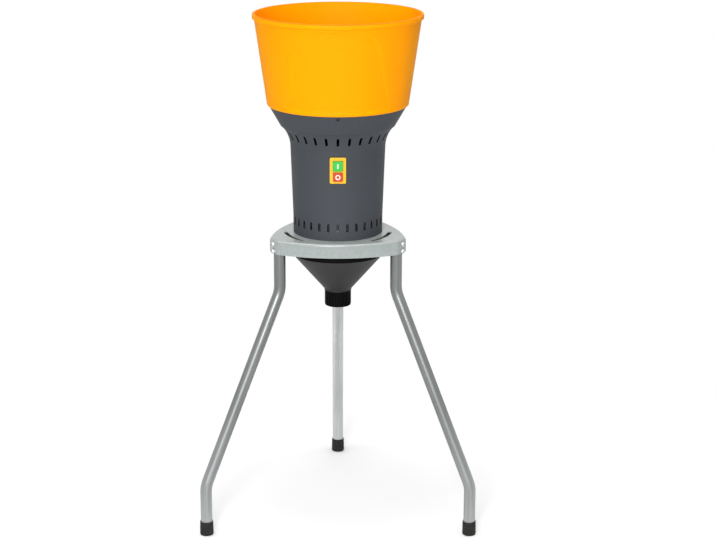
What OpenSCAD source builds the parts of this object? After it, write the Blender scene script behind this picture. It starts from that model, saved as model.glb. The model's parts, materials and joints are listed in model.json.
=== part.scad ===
// Electric grain mill on a tripod.
// Millimetres, +Z up. The origin is on the floor, on the vertical axis of the mill.
// The front, with the switch, faces -Y. The legs stand at 90, 210 and 330 degrees.

/* [Tripod] */
// Height of the support plate's top face above the floor
plate_z = 634; // [560:1:760]
// Distance from the mill's axis to a leg's centre line at the support plate
leg_top_r = 142.3; // [138:0.1:152]
// Distance from the mill's axis to a leg's centre line at the floor
leg_foot_r = 326; // [280:1:380]
// Outside diameter of the leg tube
leg_d = 25; // [22:0.5:28]
// Wall of the leg tube
leg_wall = 1.5; // [1:0.1:2.5]
// Drop from the plate's top face to the upper bend of a leg
knee_drop = 115; // [90:1:150]
// Height of the lower bend of a leg above the floor
ankle_z = 110; // [80:1:150]
// Radius of the bends, on the tube's centre line
leg_bend_r = 62; // [45:1:110]
// Height of a rubber foot
foot_h = 31; // [20:1:45]
// Rubber around the tube at the top of a foot
foot_wall = 1.4; // [1:0.1:3]
// Extra radius of a foot at the floor
foot_flare = 0.7; // [0.2:0.1:2]
// Rubber under the end of the tube
foot_floor = 4; // [2:0.5:8]

/* [Support plate] */
// Thickness of the pressed sheet
plate_t = 2; // [1.5:0.1:2.5]
// Height of the plate with its skirt
plate_h = 30; // [26:1:40]
// Outside radius of the fold between top and skirt
plate_fold_r = 5; // [4:0.5:6]
// Radius of the three long curved sides
side_r = 290; // [260:1:340]
// Distance from the mill's axis to the middle of a long side
side_mid_r = 122; // [118:0.5:126]
// Radius of the circle on which the curved slots lie
arc_slot_r = 112.5; // [109:0.5:114]
// Width of a curved slot
arc_slot_w = 9; // [5:0.5:9]
// Half the angle that a curved slot spans
arc_slot_half = 20.5; // [10:0.5:28]
// Diameter of a leg bolt
leg_bolt_d = 6; // [5:0.5:7]
// Distance between the two bolts of a leg
leg_bolt_pitch = 15; // [13:0.5:17]
// Width across the corners of a leg bolt's nut
leg_nut_d = 11.5; // [10:0.1:13]

/* [Milling chamber] */
// Outside radius of the chamber ring
ring_r = 102; // [100:0.5:104]
// Wall of the chamber ring
ring_wall = 4; // [3:0.5:4.5]
// Height of the chamber ring
ring_h = 44; // [42:1:50]
// Thickness of the lugs that close the plate's curved slots from below
ring_flange_t = 2.5; // [1.5:0.1:2.6]
// Distance from the mill's axis to a tie stud
stud_r = 82; // [81:0.5:83]
// Diameter of a tie stud
stud_d = 5; // [4:0.5:6]
// Half the width of the sieve's mouth
sieve_half = 70; // [68:0.5:71]
// Corner radius of the sieve's mouth
sieve_corner_r = 44; // [40:1:46]
// How far each side of the sieve leans in from mouth to floor
sieve_lean = 13; // [6:0.5:14]
// Depth of the sieve
sieve_depth = 40; // [38:0.5:44]
// Thickness of the sieve sheet
sieve_t = 1; // [0.8:0.1:1.5]
// Width of the folded rim of the sieve
sieve_rim_w = 5; // [4.5:0.1:5.5]
// Diameter of a hole in the sieve
sieve_hole_d = 5; // [3:0.5:6]
// Distance between the sieve's holes
sieve_pitch = 8.5; // [8:0.5:12]
// Length of a blade from tip to tip
blade_len = 112; // [90:1:114]
// Width of a blade
blade_w = 22; // [18:1:28]
// Thickness of a blade
blade_t = 2.5; // [2:0.5:3]

/* [Funnel] */
// Outside radius of the funnel at the chamber ring
funnel_r = 100.5; // [99:0.5:101.5]
// Height of the funnel's cone
funnel_h = 82.5; // [60:0.5:110]
// Outside radius at the bottom of the cone
spout_shoulder_r = 29.3; // [28:0.1:31]
// Radius of the spout's bore
spout_bore_r = 22; // [18:0.5:23]
// Length of the spout below the cone
spout_len = 35; // [25:1:50]
// Wall of the funnel
funnel_wall = 3; // [2:0.5:3]
// Outside radius of the outlet collar at its top
collar_r = 28.7; // [27.5:0.1:30]
// How much narrower the outlet collar is at its bottom
collar_taper = 0.7; // [0:0.1:1]
// Number of grooves round the outlet collar
collar_grooves = 24; // [12:1:36]

/* [Housing] */
// Outside radius of the housing on the support plate
body_r = 95.2; // [94.5:0.1:97]
// Height of the straight foot of the housing
body_foot_h = 36; // [28:1:50]
// Outside radius at the top of the long taper
waist_r = 100.5; // [99:0.1:102]
// Height of the long taper
taper_h = 147.5; // [140:0.5:200]
// Radius of the hollow flare under the collar
flare_r = 68; // [60:1:76]
// Angle through which the flare turns
flare_turn = 42.5; // [38:0.5:45]
// Height of the collar that carries the hopper
seat_h = 43; // [38:1:48]
// Outside radius of the collar at its top
seat_r = 146; // [145:0.1:146.5]
// Wall of the housing
body_wall = 3.5; // [2.5:0.1:3.5]
// Number of vent slots in the lower row
vent_low_count = 30; // [20:2:36]
// Number of vent slots in the upper row
vent_high_count = 28; // [20:2:36]
// Width of a vent slot
vent_w = 5.5; // [3:0.5:6]
// Height of a vent slot
vent_h = 18; // [12:1:22]

/* [Hopper] */
// Outside radius of the hopper's rim
rim_r = 179; // [177:0.5:190]
// Height of the hopper above the housing
hopper_h = 191.5; // [150:0.5:260]
// Wall of the hopper
hopper_wall = 3; // [2:0.5:4]
// Outside radius of the hopper's wall at its lower edge
hopper_low_r = 149.5; // [149:0.5:152]
// Outside radius of the hopper's wall just under the rim
hopper_high_r = 175; // [171:0.5:176]
// Height of the rim's lip
lip_h = 10; // [6:1:16]
// Depth of the hopper's lower part inside the housing
nest_h = 46.5; // [42:0.5:50]
// Thickness of the hopper's floor
floor_t = 4; // [3:0.5:6]
// Inner radius of the feed hole
feed_r1 = 57; // [56:0.5:60]
// Outer radius of the feed hole
feed_r2 = 78; // [74:0.5:78.5]
// Half the angle that the feed hole spans
feed_half = 15; // [8:0.5:16]

/* [Motor] */
// Outside radius of the motor casing
motor_r = 50; // [48:0.5:51]
// Height of the motor casing
motor_h = 156; // [146:1:160]
// Wall of the motor casing
motor_wall = 4; // [3:0.5:5]
// Thickness of the lower end shield
base_t = 6; // [5:0.5:8]
// Radius of the rotor
rotor_r = 27; // [25:0.5:28]
// Length of the rotor and stator stacks
stack_h = 70; // [50:1:76]
// Radius of the shaft in its bearings
shaft_r = 7.5; // [7:0.5:8]
// Outside radius of a bearing
bearing_r = 17.5; // [17:0.5:18.5]
// Width of a bearing
bearing_h = 11; // [10:0.5:12]
// Outside radius of the cooling fan
fan_r = 46; // [36:1:48]
// Height of the cooling fan's blades
fan_h = 12; // [8:1:16]
// Radius of the run capacitor
cap_r = 15; // [12:0.5:16]
// Height of the run capacitor
cap_h = 70; // [50:1:90]

/* [Switch] */
// Width of the switch's faceplate
switch_w = 34; // [32:0.5:38]
// Height of the switch's faceplate
switch_h = 55; // [52:0.5:60]
// Height of the faceplate's middle above the support plate
switch_z = 153.4; // [140:0.1:158]
// How far a button travels
button_travel = 2.5; // [1.5:0.1:3]

/* [Feed shutter] */
// Angle that the feed shutter turns from shut to open
shutter_turn = 40; // [35:1:45]
// Thickness of the shutter
shutter_t = 2; // [1.5:0.1:3]

/* [Clearances] */
// Gap between a seated piece and what it seats in
seat_gap = 0.1; // [0.05:0.01:0.15]
// Gap between pieces that move past each other
move_gap = 0.3; // [0.3:0.05:0.5]
// Radial gap of a pivot in its hole
pivot_gap = 0.05; // [0.03:0.01:0.08]

/* [Hidden] */
$fn = 96;
cut = 1;

LEG_ANGLES = [90, 210, 330];
STUD_ANGLES = [45, 135, 225, 315];
MOTOR_BOLT_ANGLES = [30, 150, 210, 330];
feed_az = 90;
gland_az = 122;
cap_az = 180;
terminal_az = 15;

// Levels of the tripod and the support plate
plate_under = plate_z - plate_t;
skirt_z = plate_z - plate_h;
corner_r = leg_top_r + leg_d / 2 + seat_gap + plate_t;
fold_in_r = plate_fold_r - plate_t;
slot_end_step = 0.8;
leg_top_z = plate_z - plate_fold_r - move_gap;
knee_z = plate_z - knee_drop;
leg_lean = atan((leg_foot_r - leg_top_r) / (knee_z - ankle_z));
bend_run = leg_bend_r * tan(leg_lean / 2);
bend_swell = 0.15;
lap = 1;
foot_top_r = leg_d / 2 + seat_gap + foot_wall;
foot_round = 3;
leg_bolt_z1 = plate_z - plate_fold_r - 6;
leg_bolt_zs = [leg_bolt_z1, leg_bolt_z1 - leg_bolt_pitch];
leg_nut_h = 5;
leg_head_h = 4;

// Levels of the milling chamber
ring_z = plate_under - ring_h;
flange_r = arc_slot_r + arc_slot_w / 2 + 4;
flange_half = 4;
rim_sheet_h = 2;
rim_under = plate_under - rim_sheet_h;
sieve_rim_half = sieve_half + sieve_rim_w;
sieve_rim_corner = sieve_corner_r + sieve_rim_w;
sieve_reach = (sieve_half - sieve_corner_r) * sqrt(2) + sieve_rim_corner;
sieve_z = plate_under - sieve_depth;
tongue_w = 14;
clamp_r = stud_r - sieve_rim_half + 2;
clamp_t = 2;
stud_nut_h = 4;
stud_low_z = rim_under - clamp_t - stud_nut_h - 2;
shaft_low_z = sieve_z + sieve_t + 2.5;
nut_z = shaft_low_z + 1;
nut_h = 6;
washer_t = 1.5;
blade_z1 = nut_z + nut_h + washer_t;
spacer_h = 5;
blade_z2 = blade_z1 + blade_t + spacer_h;
blade_top = blade_z2 + blade_t;
thread_r = 5;

// Levels of the funnel
cone_z = ring_z - funnel_h;
spout_band = 3;
spout_top_z = cone_z - spout_band;
spout_low_z = spout_top_z - spout_len + spout_band;
spout_wall = 2.4;
spout_r = spout_bore_r + spout_wall;
cone_slope = (funnel_r - spout_shoulder_r) / funnel_h;
cone_wall_x = funnel_wall * sqrt(1 + cone_slope * cone_slope);
spigot_r = ring_r - ring_wall - seat_gap;
spigot_in_r = spigot_r - funnel_wall;
spigot_h = 10;
spigot_screw_z = ring_z + spigot_h / 2;

// Levels of the housing
body_foot_z = plate_z + body_foot_h;
waist_z = body_foot_z + taper_h;
flare_cx = waist_r + flare_r;
flare_top_r = flare_cx - flare_r * cos(flare_turn);
flare_top_z = waist_z + flare_r * sin(flare_turn);
seat_step = 3;
seat_low_r = flare_top_r + seat_step;
seat_low_z = flare_top_z + 2;
seat_z = seat_low_z + seat_h;
seat_slope = (seat_r - seat_low_r) / seat_h;
seat_wall_x = body_wall * sqrt(1 + seat_slope * seat_slope);
vent_low_z = body_foot_z - vent_h / 2 + 0.8;
vent_high_z = waist_z + vent_h / 2 + 21;

// Levels of the hopper
floor_z = seat_z - nest_h;
floor_top = floor_z + floor_t;
nest_r = seat_r - seat_wall_x - seat_gap * 5;
nest_wall_x = hopper_wall * sqrt(1 + seat_slope * seat_slope);
nest_kink_z = seat_low_z + 4;
nest_kink_r = nest_r - seat_slope * (seat_z - nest_kink_z);
nest_low_r = flare_cx - sqrt(pow(flare_r + body_wall, 2) - pow(floor_z - waist_z, 2)) - 2;
rim_z = seat_z + hopper_h;
corner_round = 3;
corner_in_round = 2.5;
hopper_screw_z = seat_z - 6;
hopper_screw_at = seat_r - (seat_z - hopper_screw_z) * seat_slope;
hopper_screw_in = body_wall + hopper_wall + 1;
hopper_screw_angles = [30, 150, 270];

// Levels of the motor
base_top = plate_z + base_t;
base_r = body_r - body_wall - 1.2;
casing_top = base_top + motor_h;
cap_t = 6;
cap_top = casing_top + cap_t;
low_bearing_z = base_top + 9;
high_bearing_z = casing_top - bearing_h;
seal_r = 13;
seal_h = 7;
boss_r = bearing_r + 6.5;
bore_neck_r = (bearing_r + shaft_r) / 2;
stack_z = base_top + (motor_h - stack_h) / 2 + 7;
stator_r = motor_r - motor_wall - seat_gap;
air_gap = 0.6;
core_r = shaft_r + 1.5;
slot_count = 18;
coil_r1 = rotor_r + 4.5;
coil_r2 = stator_r - 6;
end_turn_h = 15;
motor_bolt_r = motor_r + 4;
motor_bolt_d = 4;
fan_z = cap_top + 4;
fan_seat_r = 6;
shaft_top_z = fan_z + fan_h + 10;
clamp_band = 1.6;
cap_pos_r = motor_r + 3 + clamp_band + cap_r;

// The chute from the hopper to the chamber
chute_wall = 2;
chute_side = asin(chute_wall / feed_r1);

// The switch in the front of the housing
switch_mid = plate_z + switch_z;
front_r = body_r + (waist_r - body_r) * (switch_mid - body_foot_z) / taper_h;
plate_back = sqrt(front_r * front_r - switch_w * switch_w / 4) - 0.2;
faceplate_t = 5.5;
box_w = 28;
box_h = 48;
box_depth = 36;
button_gap = move_gap;
start_size = [21, 21];
stop_size = [20, 18];
start_z = switch_mid + 9.6;
stop_z = switch_mid - 13.2;
start_proud = button_travel + 0.6;
stop_proud = button_travel + 2.4;
well_depth = 9;

// The feed shutter on the hopper's floor
shutter_z = floor_top + move_gap;
shutter_r = feed_r2 + 4;
shutter_half = feed_half + 4;
shutter_hub_r = 14;
shutter_stop_r = 3;
shutter_stop_at = 60;
stop_offset = asin((shutter_stop_r + move_gap) / shutter_stop_at);
shutter_stop_angles = [feed_az - shutter_half - stop_offset,
  feed_az + shutter_half + shutter_turn + stop_offset];
pivot_r = 3;
pivot_boss_h = 14;
knob_r = 7;
knob_h = 15;

// The cable gland, with no cable in it
gland_height = 56;
gland_z = plate_z + gland_height;
gland_wall_r = body_r + (waist_r - body_r) * (gland_z - body_foot_z) / taper_h;
gland_bore_r = 4;
gland_r = 8;
gland_hex_r = 12;

// ---------- helpers ----------

// Points of an arc about c, from angle a0 to a1 in n steps
function arc(c, r, a0, a1, n) =
  [for (i = [0:n]) c + r * [cos(a0 + (a1 - a0) * i / n), sin(a0 + (a1 - a0) * i / n)]];

// Places children at a distance from the axis in one direction
module polar(az, r, z) {
  rotate([0, 0, az])
    translate([r, 0, z])
      children();
}

// A flat ring of the given height
module tube(r_out, r_in, h) {
  linear_extrude(h)
    difference() {
      circle(r = r_out);
      circle(r = r_in);
    }
}

// A cylinder that points outwards from the axis, from radius r0 to r1
module radial_rod(az, r0, r1, z, d) {
  polar(az, r0, z)
    rotate([0, 90, 0])
      cylinder(d = d, h = r1 - r0);
}

// A wedge of a circle between two angles, for cutting rings into arcs
module wedge(r, half) {
  polygon([[0, 0], 2 * r * [cos(-half), sin(-half)], 2 * r * [1, 0], 2 * r * [cos(half), sin(half)]]);
}

// A ring sector in plan between two radii, half the angle to each side
module sector(r1, r2, half) {
  intersection() {
    difference() {
      circle(r = r2);
      circle(r = r1);
    }
    wedge(r2, half);
  }
}

// A slot with round ends, standing along Y in plan
module round_slot(w, h) {
  square([w, h - w], center = true);
  for (s = [-1, 1])
    translate([0, s * (h - w) / 2])
      circle(d = w);
}

// A rectangle with round corners, in plan
module round_rect(w, h, r) {
  square([w, h - 2 * r], center = true);
  square([w - 2 * r, h], center = true);
  for (x = [-1, 1], y = [-1, 1])
    translate([x * (w / 2 - r), y * (h / 2 - r)])
      circle(r = r);
}

// A hexagon nut with its hole, standing on its face
module hex_nut(corner_d, hole_d, h) {
  difference() {
    cylinder(d = corner_d, h = h, $fn = 6);
    translate([0, 0, -cut])
      cylinder(d = hole_d, h = h + 2 * cut);
  }
}

// A domed head that stands on its flat face
module domed_head(r, h) {
  rotate_extrude()
    polygon(concat([[0, 0], [r, 0], [r, h * 0.35]],
      [for (i = [1:5]) [r * cos(i * 18), h * 0.35 + h * 0.65 * sin(i * 18)]]));
}

// ---------- tripod ----------

// One bent tube, drawn in the plane of its leg: three straights that lap into two bends
module leg() {
  slant = norm([leg_foot_r - leg_top_r, knee_z - ankle_z]) - 2 * bend_run;
  difference() {
    translate([leg_top_r, 0, knee_z + bend_run - lap])
      tube(leg_d / 2, leg_d / 2 - leg_wall, leg_top_z - knee_z - bend_run + lap);
    for (z = leg_bolt_zs)
      translate([leg_top_r - leg_d, 0, z])
        rotate([0, 90, 0])
          cylinder(d = leg_bolt_d + 4 * seat_gap, h = 2 * leg_d);
  }
  translate([leg_top_r + leg_bend_r, 0, knee_z + bend_run])
    rotate([0, 180, 0])
      leg_bend();
  translate([leg_top_r, 0, knee_z])
    rotate([0, 180 - leg_lean, 0])
      translate([0, 0, bend_run - lap])
        tube(leg_d / 2, leg_d / 2 - leg_wall, slant + 2 * lap);
  translate([leg_foot_r - leg_bend_r, 0, ankle_z - bend_run])
    leg_bend();
  translate([leg_foot_r, 0, foot_floor])
    tube(leg_d / 2, leg_d / 2 - leg_wall, ankle_z - bend_run - foot_floor + lap);
}

// The bend of a leg tube, about the origin, rising from the X axis.
// It is a hair thicker than the straights, so that they join inside it.
module leg_bend() {
  rotate([90, 0, 0])
    rotate_extrude(angle = leg_lean)
      translate([leg_bend_r, 0])
        difference() {
          circle(d = leg_d + 2 * bend_swell);
          circle(d = leg_d - 2 * leg_wall - 2 * bend_swell);
        }
}

module leg_rear() color("silver") rotate([0, 0, LEG_ANGLES[0]]) leg();
module leg_left() color("silver") rotate([0, 0, LEG_ANGLES[1]]) leg();
module leg_right() color("silver") rotate([0, 0, LEG_ANGLES[2]]) leg();

// A rubber cap on the end of a leg
module foot(az) {
  sole_r = foot_top_r + foot_flare;
  bore_r = leg_d / 2 + seat_gap;
  polar(az, leg_foot_r, 0)
    rotate_extrude()
      polygon(concat([[0, 0]],
        arc([sole_r - foot_round, foot_round], foot_round, -90, 0, 6),
        [[foot_top_r, foot_h], [bore_r, foot_h], [bore_r, foot_floor], [0, foot_floor]]));
}

module foot_rear() color("dimgray") foot(LEG_ANGLES[0]);
module foot_left() color("dimgray") foot(LEG_ANGLES[1]);
module foot_right() color("dimgray") foot(LEG_ANGLES[2]);

// ---------- support plate ----------

// A disc with a rounded upper edge
module coin(r, top, fold, bottom) {
  rotate_extrude()
    difference() {
      translate([0, bottom])
        square([r, top - bottom]);
      difference() {
        translate([r - fold, top - fold])
          square(2 * fold);
        translate([r - fold, top - fold])
          circle(r = fold);
      }
    }
}

// The plate's outline: a disc for the three corners, cut by three large discs for the long sides
module plate_form(inset, fold, bottom) {
  top = plate_z - inset;
  intersection() {
    coin(corner_r - inset, top, fold, bottom);
    polar(LEG_ANGLES[0], side_r - side_mid_r, 0)
      coin(side_r - inset, top, fold, bottom);
    polar(LEG_ANGLES[1], side_r - side_mid_r, 0)
      coin(side_r - inset, top, fold, bottom);
    polar(LEG_ANGLES[2], side_r - side_mid_r, 0)
      coin(side_r - inset, top, fold, bottom);
  }
}

module arc_slot() {
  sector(arc_slot_r - arc_slot_w / 2, arc_slot_r + arc_slot_w / 2, arc_slot_half);
  for (s = [-1, 1])
    rotate([0, 0, s * arc_slot_half])
      translate([arc_slot_r, 0])
        circle(d = arc_slot_w - slot_end_step);
}

module plate_holes() {
  circle(r = seal_r + 7);
  rotate([0, 0, feed_az])
    sector(feed_r1, feed_r2, feed_half);
  for (a = STUD_ANGLES)
    rotate([0, 0, a])
      translate([stud_r, 0])
        circle(d = stud_d + 4 * seat_gap);
  for (a = LEG_ANGLES)
    rotate([0, 0, a])
      arc_slot();
}

module support_plate() {
  color("lightgray")
    difference() {
      plate_form(0, plate_fold_r, skirt_z);
      plate_form(plate_t, fold_in_r, skirt_z - cut);
      translate([0, 0, plate_under - cut])
        linear_extrude(plate_t + 2 * cut)
          plate_holes();
      for (a = LEG_ANGLES, z = leg_bolt_zs)
        radial_rod(a, corner_r - 3 * plate_t, corner_r + plate_t, z, leg_bolt_d + 4 * seat_gap);
    }
}

module leg_bolts() {
  color("gainsboro")
    for (a = LEG_ANGLES, z = leg_bolt_zs) {
      radial_rod(a, leg_top_r - leg_d / 2 - leg_nut_h - 2, corner_r, z, leg_bolt_d);
      polar(a, corner_r, z)
        rotate([0, 90, 0])
          domed_head(leg_bolt_d * 0.85, leg_head_h);
    }
}

module leg_nuts() {
  color("gainsboro")
    for (a = LEG_ANGLES, z = leg_bolt_zs)
      polar(a, leg_top_r - leg_d / 2 - leg_nut_h, z)
        rotate([0, 90, 0])
          hex_nut(leg_nut_d, leg_bolt_d + 2 * seat_gap, leg_nut_h);
}

// ---------- milling chamber ----------

// The ring under the plate that closes the chamber and carries the funnel
module chamber_ring() {
  color("black") {
    difference() {
      translate([0, 0, ring_z])
        tube(ring_r, ring_r - ring_wall, ring_h);
      for (a = LEG_ANGLES)
        radial_rod(a, ring_r - 2 * ring_wall, ring_r + cut, spigot_screw_z, 4.4);
    }
    for (a = LEG_ANGLES)
      rotate([0, 0, a])
        translate([0, 0, plate_under - ring_flange_t])
          linear_extrude(ring_flange_t)
            sector(ring_r - ring_wall / 2, flange_r, arc_slot_half + flange_half);
    translate([0, 0, rim_under])
      linear_extrude(rim_sheet_h)
        difference() {
          circle(r = ring_r - ring_wall / 2);
          difference() {
            circle(r = sieve_reach + 1);
            for (a = STUD_ANGLES)
              rotate([0, 0, a])
                translate([sieve_rim_half + 3 * seat_gap, -tongue_w / 2])
                  square([ring_r - sieve_rim_half - ring_wall, tongue_w]);
          }
          for (a = STUD_ANGLES)
            rotate([0, 0, a])
              translate([stud_r, 0])
                circle(d = stud_d + 4 * seat_gap);
        }
  }
}

module tie_studs() {
  color("gainsboro")
    for (a = STUD_ANGLES)
      polar(a, stud_r, stud_low_z)
        cylinder(d = stud_d, h = floor_z - 4 - stud_low_z);
}

module stud_nuts() {
  color("gainsboro")
    for (a = STUD_ANGLES)
      polar(a, stud_r, rim_under - clamp_t - stud_nut_h)
        hex_nut(2 * stud_d - 0.6, stud_d + 2 * seat_gap, stud_nut_h);
}

// Clamp washers that hold the sieve's rim and the chamber ring up against the plate
module sieve_clamps() {
  color("silver")
    for (a = STUD_ANGLES)
      polar(a, stud_r, rim_under - clamp_t)
        tube(clamp_r, stud_d / 2 + 2 * seat_gap, clamp_t);
}

// One quarter of the sieve's wall: a flat side and a round corner of one profile
module sieve_wall_quarter(profile) {
  mid = sieve_half - sieve_corner_r;
  translate([mid, mid, 0])
    rotate_extrude(angle = 90)
      polygon(profile);
  translate([mid, mid, 0])
    rotate([90, 0, 0])
      linear_extrude(2 * mid)
        polygon(profile);
}

// The sieve in plan at a distance outside its mouth
module sieve_plan(grow) {
  r = sieve_corner_r + grow;
  mid = sieve_half - sieve_corner_r;
  square([2 * (mid + r), 2 * mid], center = true);
  square([2 * mid, 2 * (mid + r)], center = true);
  for (a = [0:90:270])
    rotate([0, 0, a])
      translate([mid, mid])
        intersection() {
          circle(r = r);
          square(2 * r);
        }
}

module sieve_floor_holes() {
  reach = floor((sieve_half - sieve_lean - sieve_hole_d) / sieve_pitch);
  for (i = [-reach:reach], j = [-reach:reach])
    if (norm([i, j]) < reach * 1.18)
      translate([i * sieve_pitch, j * sieve_pitch])
        circle(d = sieve_hole_d, $fn = 24);
}

// Holes through one flat side, square to the sheet
module sieve_side_holes() {
  tilt = atan(sieve_lean / sieve_depth);
  mid = sieve_half - sieve_corner_r;
  cols = floor(mid / sieve_pitch);
  rows = floor((sieve_depth - 14) / sieve_pitch);
  for (i = [-cols:cols], j = [0:rows])
    translate([sieve_half - sieve_lean + (10 + j * sieve_pitch) * tan(tilt), i * sieve_pitch,
      sieve_z + 10 + j * sieve_pitch])
      rotate([0, 90 + tilt, 0])
        translate([0, 0, -3])
          cylinder(d = sieve_hole_d, h = 6, $fn = 24);
}

module sieve() {
  skin = sieve_t / cos(atan(sieve_lean / sieve_depth));
  low_r = sieve_corner_r - sieve_lean;
  profile = [[low_r - skin, sieve_z], [low_r, sieve_z],
    [sieve_corner_r, plate_under], [sieve_corner_r - skin, plate_under]];
  color("gainsboro")
    rotate([0, 0, STUD_ANGLES[0]]) {
      difference() {
        for (a = [0:90:270])
          rotate([0, 0, a])
            sieve_wall_quarter(profile);
        for (a = [0:90:270])
          rotate([0, 0, a])
            sieve_side_holes();
      }
      translate([0, 0, sieve_z])
        linear_extrude(sieve_t)
          difference() {
            sieve_plan(-sieve_lean - skin / 2);
            sieve_floor_holes();
          }
      translate([0, 0, rim_under])
        linear_extrude(rim_sheet_h)
          difference() {
            sieve_plan(sieve_rim_w);
            sieve_plan(-skin / 2);
          }
    }
}

// ---------- blades ----------

// A swept blade with ground edges, centred on the shaft
module blade(az, z) {
  rotate([0, 0, az])
    translate([0, 0, z])
      linear_extrude(blade_t)
        difference() {
          intersection() {
            circle(d = blade_len);
            polygon([[-blade_len / 2, -blade_w / 2], [blade_w / 2, -blade_w / 2],
              [blade_len / 2, -blade_w / 4], [blade_len / 2, blade_w / 2],
              [-blade_w / 2, blade_w / 2], [-blade_len / 2, blade_w / 4]]);
          }
          circle(r = thread_r + seat_gap);
        }
}

module lower_blade() color("silver") blade(20, blade_z1);
module upper_blade() color("silver") blade(110, blade_z2);

module blade_spacer() {
  color("silver")
    translate([0, 0, blade_z1 + blade_t])
      tube(shaft_r + 3, thread_r + seat_gap, spacer_h);
}

module blade_washer() {
  color("silver")
    translate([0, 0, nut_z + nut_h])
      tube(shaft_r + 3, thread_r + seat_gap, washer_t);
}

module blade_nut() {
  color("silver")
    translate([0, 0, nut_z])
      hex_nut(19, 2 * thread_r + 2 * seat_gap, nut_h);
}

// ---------- funnel and outlet ----------

module funnel() {
  in_top = funnel_r - cone_wall_x;
  color("dimgray")
    difference() {
      rotate_extrude()
        polygon([[spout_bore_r, spout_low_z], [spout_r, spout_low_z], [spout_r, spout_top_z],
          [spout_shoulder_r, spout_top_z], [spout_shoulder_r, cone_z], [funnel_r, ring_z],
          [spigot_r, ring_z], [spigot_r, ring_z + spigot_h], [spigot_in_r, ring_z + spigot_h],
          [spigot_in_r, ring_z - (in_top - spigot_in_r) / cone_slope],
          [spout_bore_r, ring_z - (in_top - spout_bore_r) / cone_slope]]);
      for (a = LEG_ANGLES)
        radial_rod(a, spigot_in_r - 2, ring_r, spigot_screw_z, 4 + 2 * seat_gap);
    }
}

module funnel_screws() {
  color("dimgray")
    for (a = LEG_ANGLES) {
      radial_rod(a, spigot_in_r - 1, ring_r, spigot_screw_z, 4);
      polar(a, ring_r, spigot_screw_z)
        rotate([0, 90, 0])
          domed_head(3.6, 2.4);
    }
}

// The grooved collar on the spout, over which a bag is tied
module outlet_collar() {
  h = spout_top_z - spout_low_z + 2;
  color("black")
    translate([0, 0, spout_low_z - 2])
      difference() {
        rotate_extrude()
          polygon([[spout_bore_r, 0], [collar_r - collar_taper - 1, 0], [collar_r - collar_taper, 1],
            [collar_r, h], [spout_r + seat_gap, h], [spout_r + seat_gap, 2], [spout_bore_r, 2]]);
        for (i = [0:collar_grooves - 1])
          polar((i + 0.5) * 360 / collar_grooves, collar_r - collar_taper - 0.6, 3)
            translate([0, -0.9, 0])
              cube([3, 1.8, h - 5]);
      }
}

// ---------- housing ----------

// The housing's section as a filled outline, inset by the wall
module housing_outline(inset, bottom) {
  seat_in = inset * sqrt(1 + seat_slope * seat_slope);
  a1 = flare_turn;
  polygon(concat(
    [[0, bottom], [body_r - inset, bottom], [body_r - inset, body_foot_z]],
    arc([flare_cx, waist_z], -(flare_r + inset), 0, -a1, 10),
    [[seat_low_r - seat_in + seat_slope * inset, seat_low_z + inset],
      [seat_r - seat_in + seat_slope * inset * 2, seat_z + inset * 2],
      [0, seat_z + inset * 2]]));
}

// A row of upright slots through a round wall between two radii
module slot_row(count, z, r0, r1, w, h) {
  for (i = [0:count - 1])
    polar(270 + i * 360 / count, r0, z)
      rotate([90, 0, 90])
        linear_extrude(r1 - r0)
          round_slot(w, h);
}

module housing() {
  color("dimgray")
    difference() {
      rotate_extrude()
        housing_outline(0, plate_z);
      rotate_extrude()
        housing_outline(body_wall, plate_z - cut);
      slot_row(vent_low_count, vent_low_z, body_r - 2 * body_wall, waist_r, vent_w, vent_h);
      slot_row(vent_high_count, vent_high_z, body_r, flare_top_r, vent_w, vent_h);
      translate([-switch_w / 2 - move_gap, -2 * body_r, switch_mid - switch_h / 2 - move_gap])
        cube([switch_w + 2 * move_gap, 2 * body_r - plate_back, switch_h + 2 * move_gap]);
      translate([-box_w / 2 - move_gap, -2 * body_r, switch_mid - box_h / 2 - move_gap])
        cube([box_w + 2 * move_gap, 2 * body_r - plate_back + 3 * body_wall, box_h + 2 * move_gap]);
      radial_rod(gland_az, body_r / 2, body_r * 1.2, gland_z, 2 * gland_r + 2 * seat_gap);
      for (a = hopper_screw_angles)
        on_collar(a)
          translate([0, 0, -2 * body_wall])
            cylinder(d = 4.4, h = 3 * body_wall);
    }
}

module cable_gland() {
  flat_r = gland_wall_r + 0.2;
  color("dimgray")
    difference() {
      union() {
        polar(gland_az, gland_wall_r - 14, gland_z)
          rotate([0, 90, 0])
            cylinder(r = gland_r, h = 14 + 6);
        polar(gland_az, flat_r, gland_z)
          rotate([0, 90, 0])
            cylinder(r = gland_hex_r, h = 6, $fn = 6);
        polar(gland_az, flat_r + 5, gland_z)
          rotate([0, 90, 0])
            cylinder(r1 = gland_hex_r * 0.82, r2 = gland_bore_r + 3, h = 13);
      }
      radial_rod(gland_az, gland_wall_r - 20, gland_wall_r + 30, gland_z, 2 * gland_bore_r);
    }
}

module gland_locknut() {
  color("dimgray")
    polar(gland_az, gland_wall_r - body_wall - 6, gland_z)
      rotate([0, 90, 0])
        hex_nut(2 * gland_hex_r, 2 * gland_r + 2 * seat_gap, 5);
}

// ---------- hopper and feed ----------

// Places children on the collar's sloping face, pointing out of it
module on_collar(az) {
  polar(az, hopper_screw_at, hopper_screw_z)
    rotate([0, 90 + atan(seat_slope), 0])
      children();
}

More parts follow.
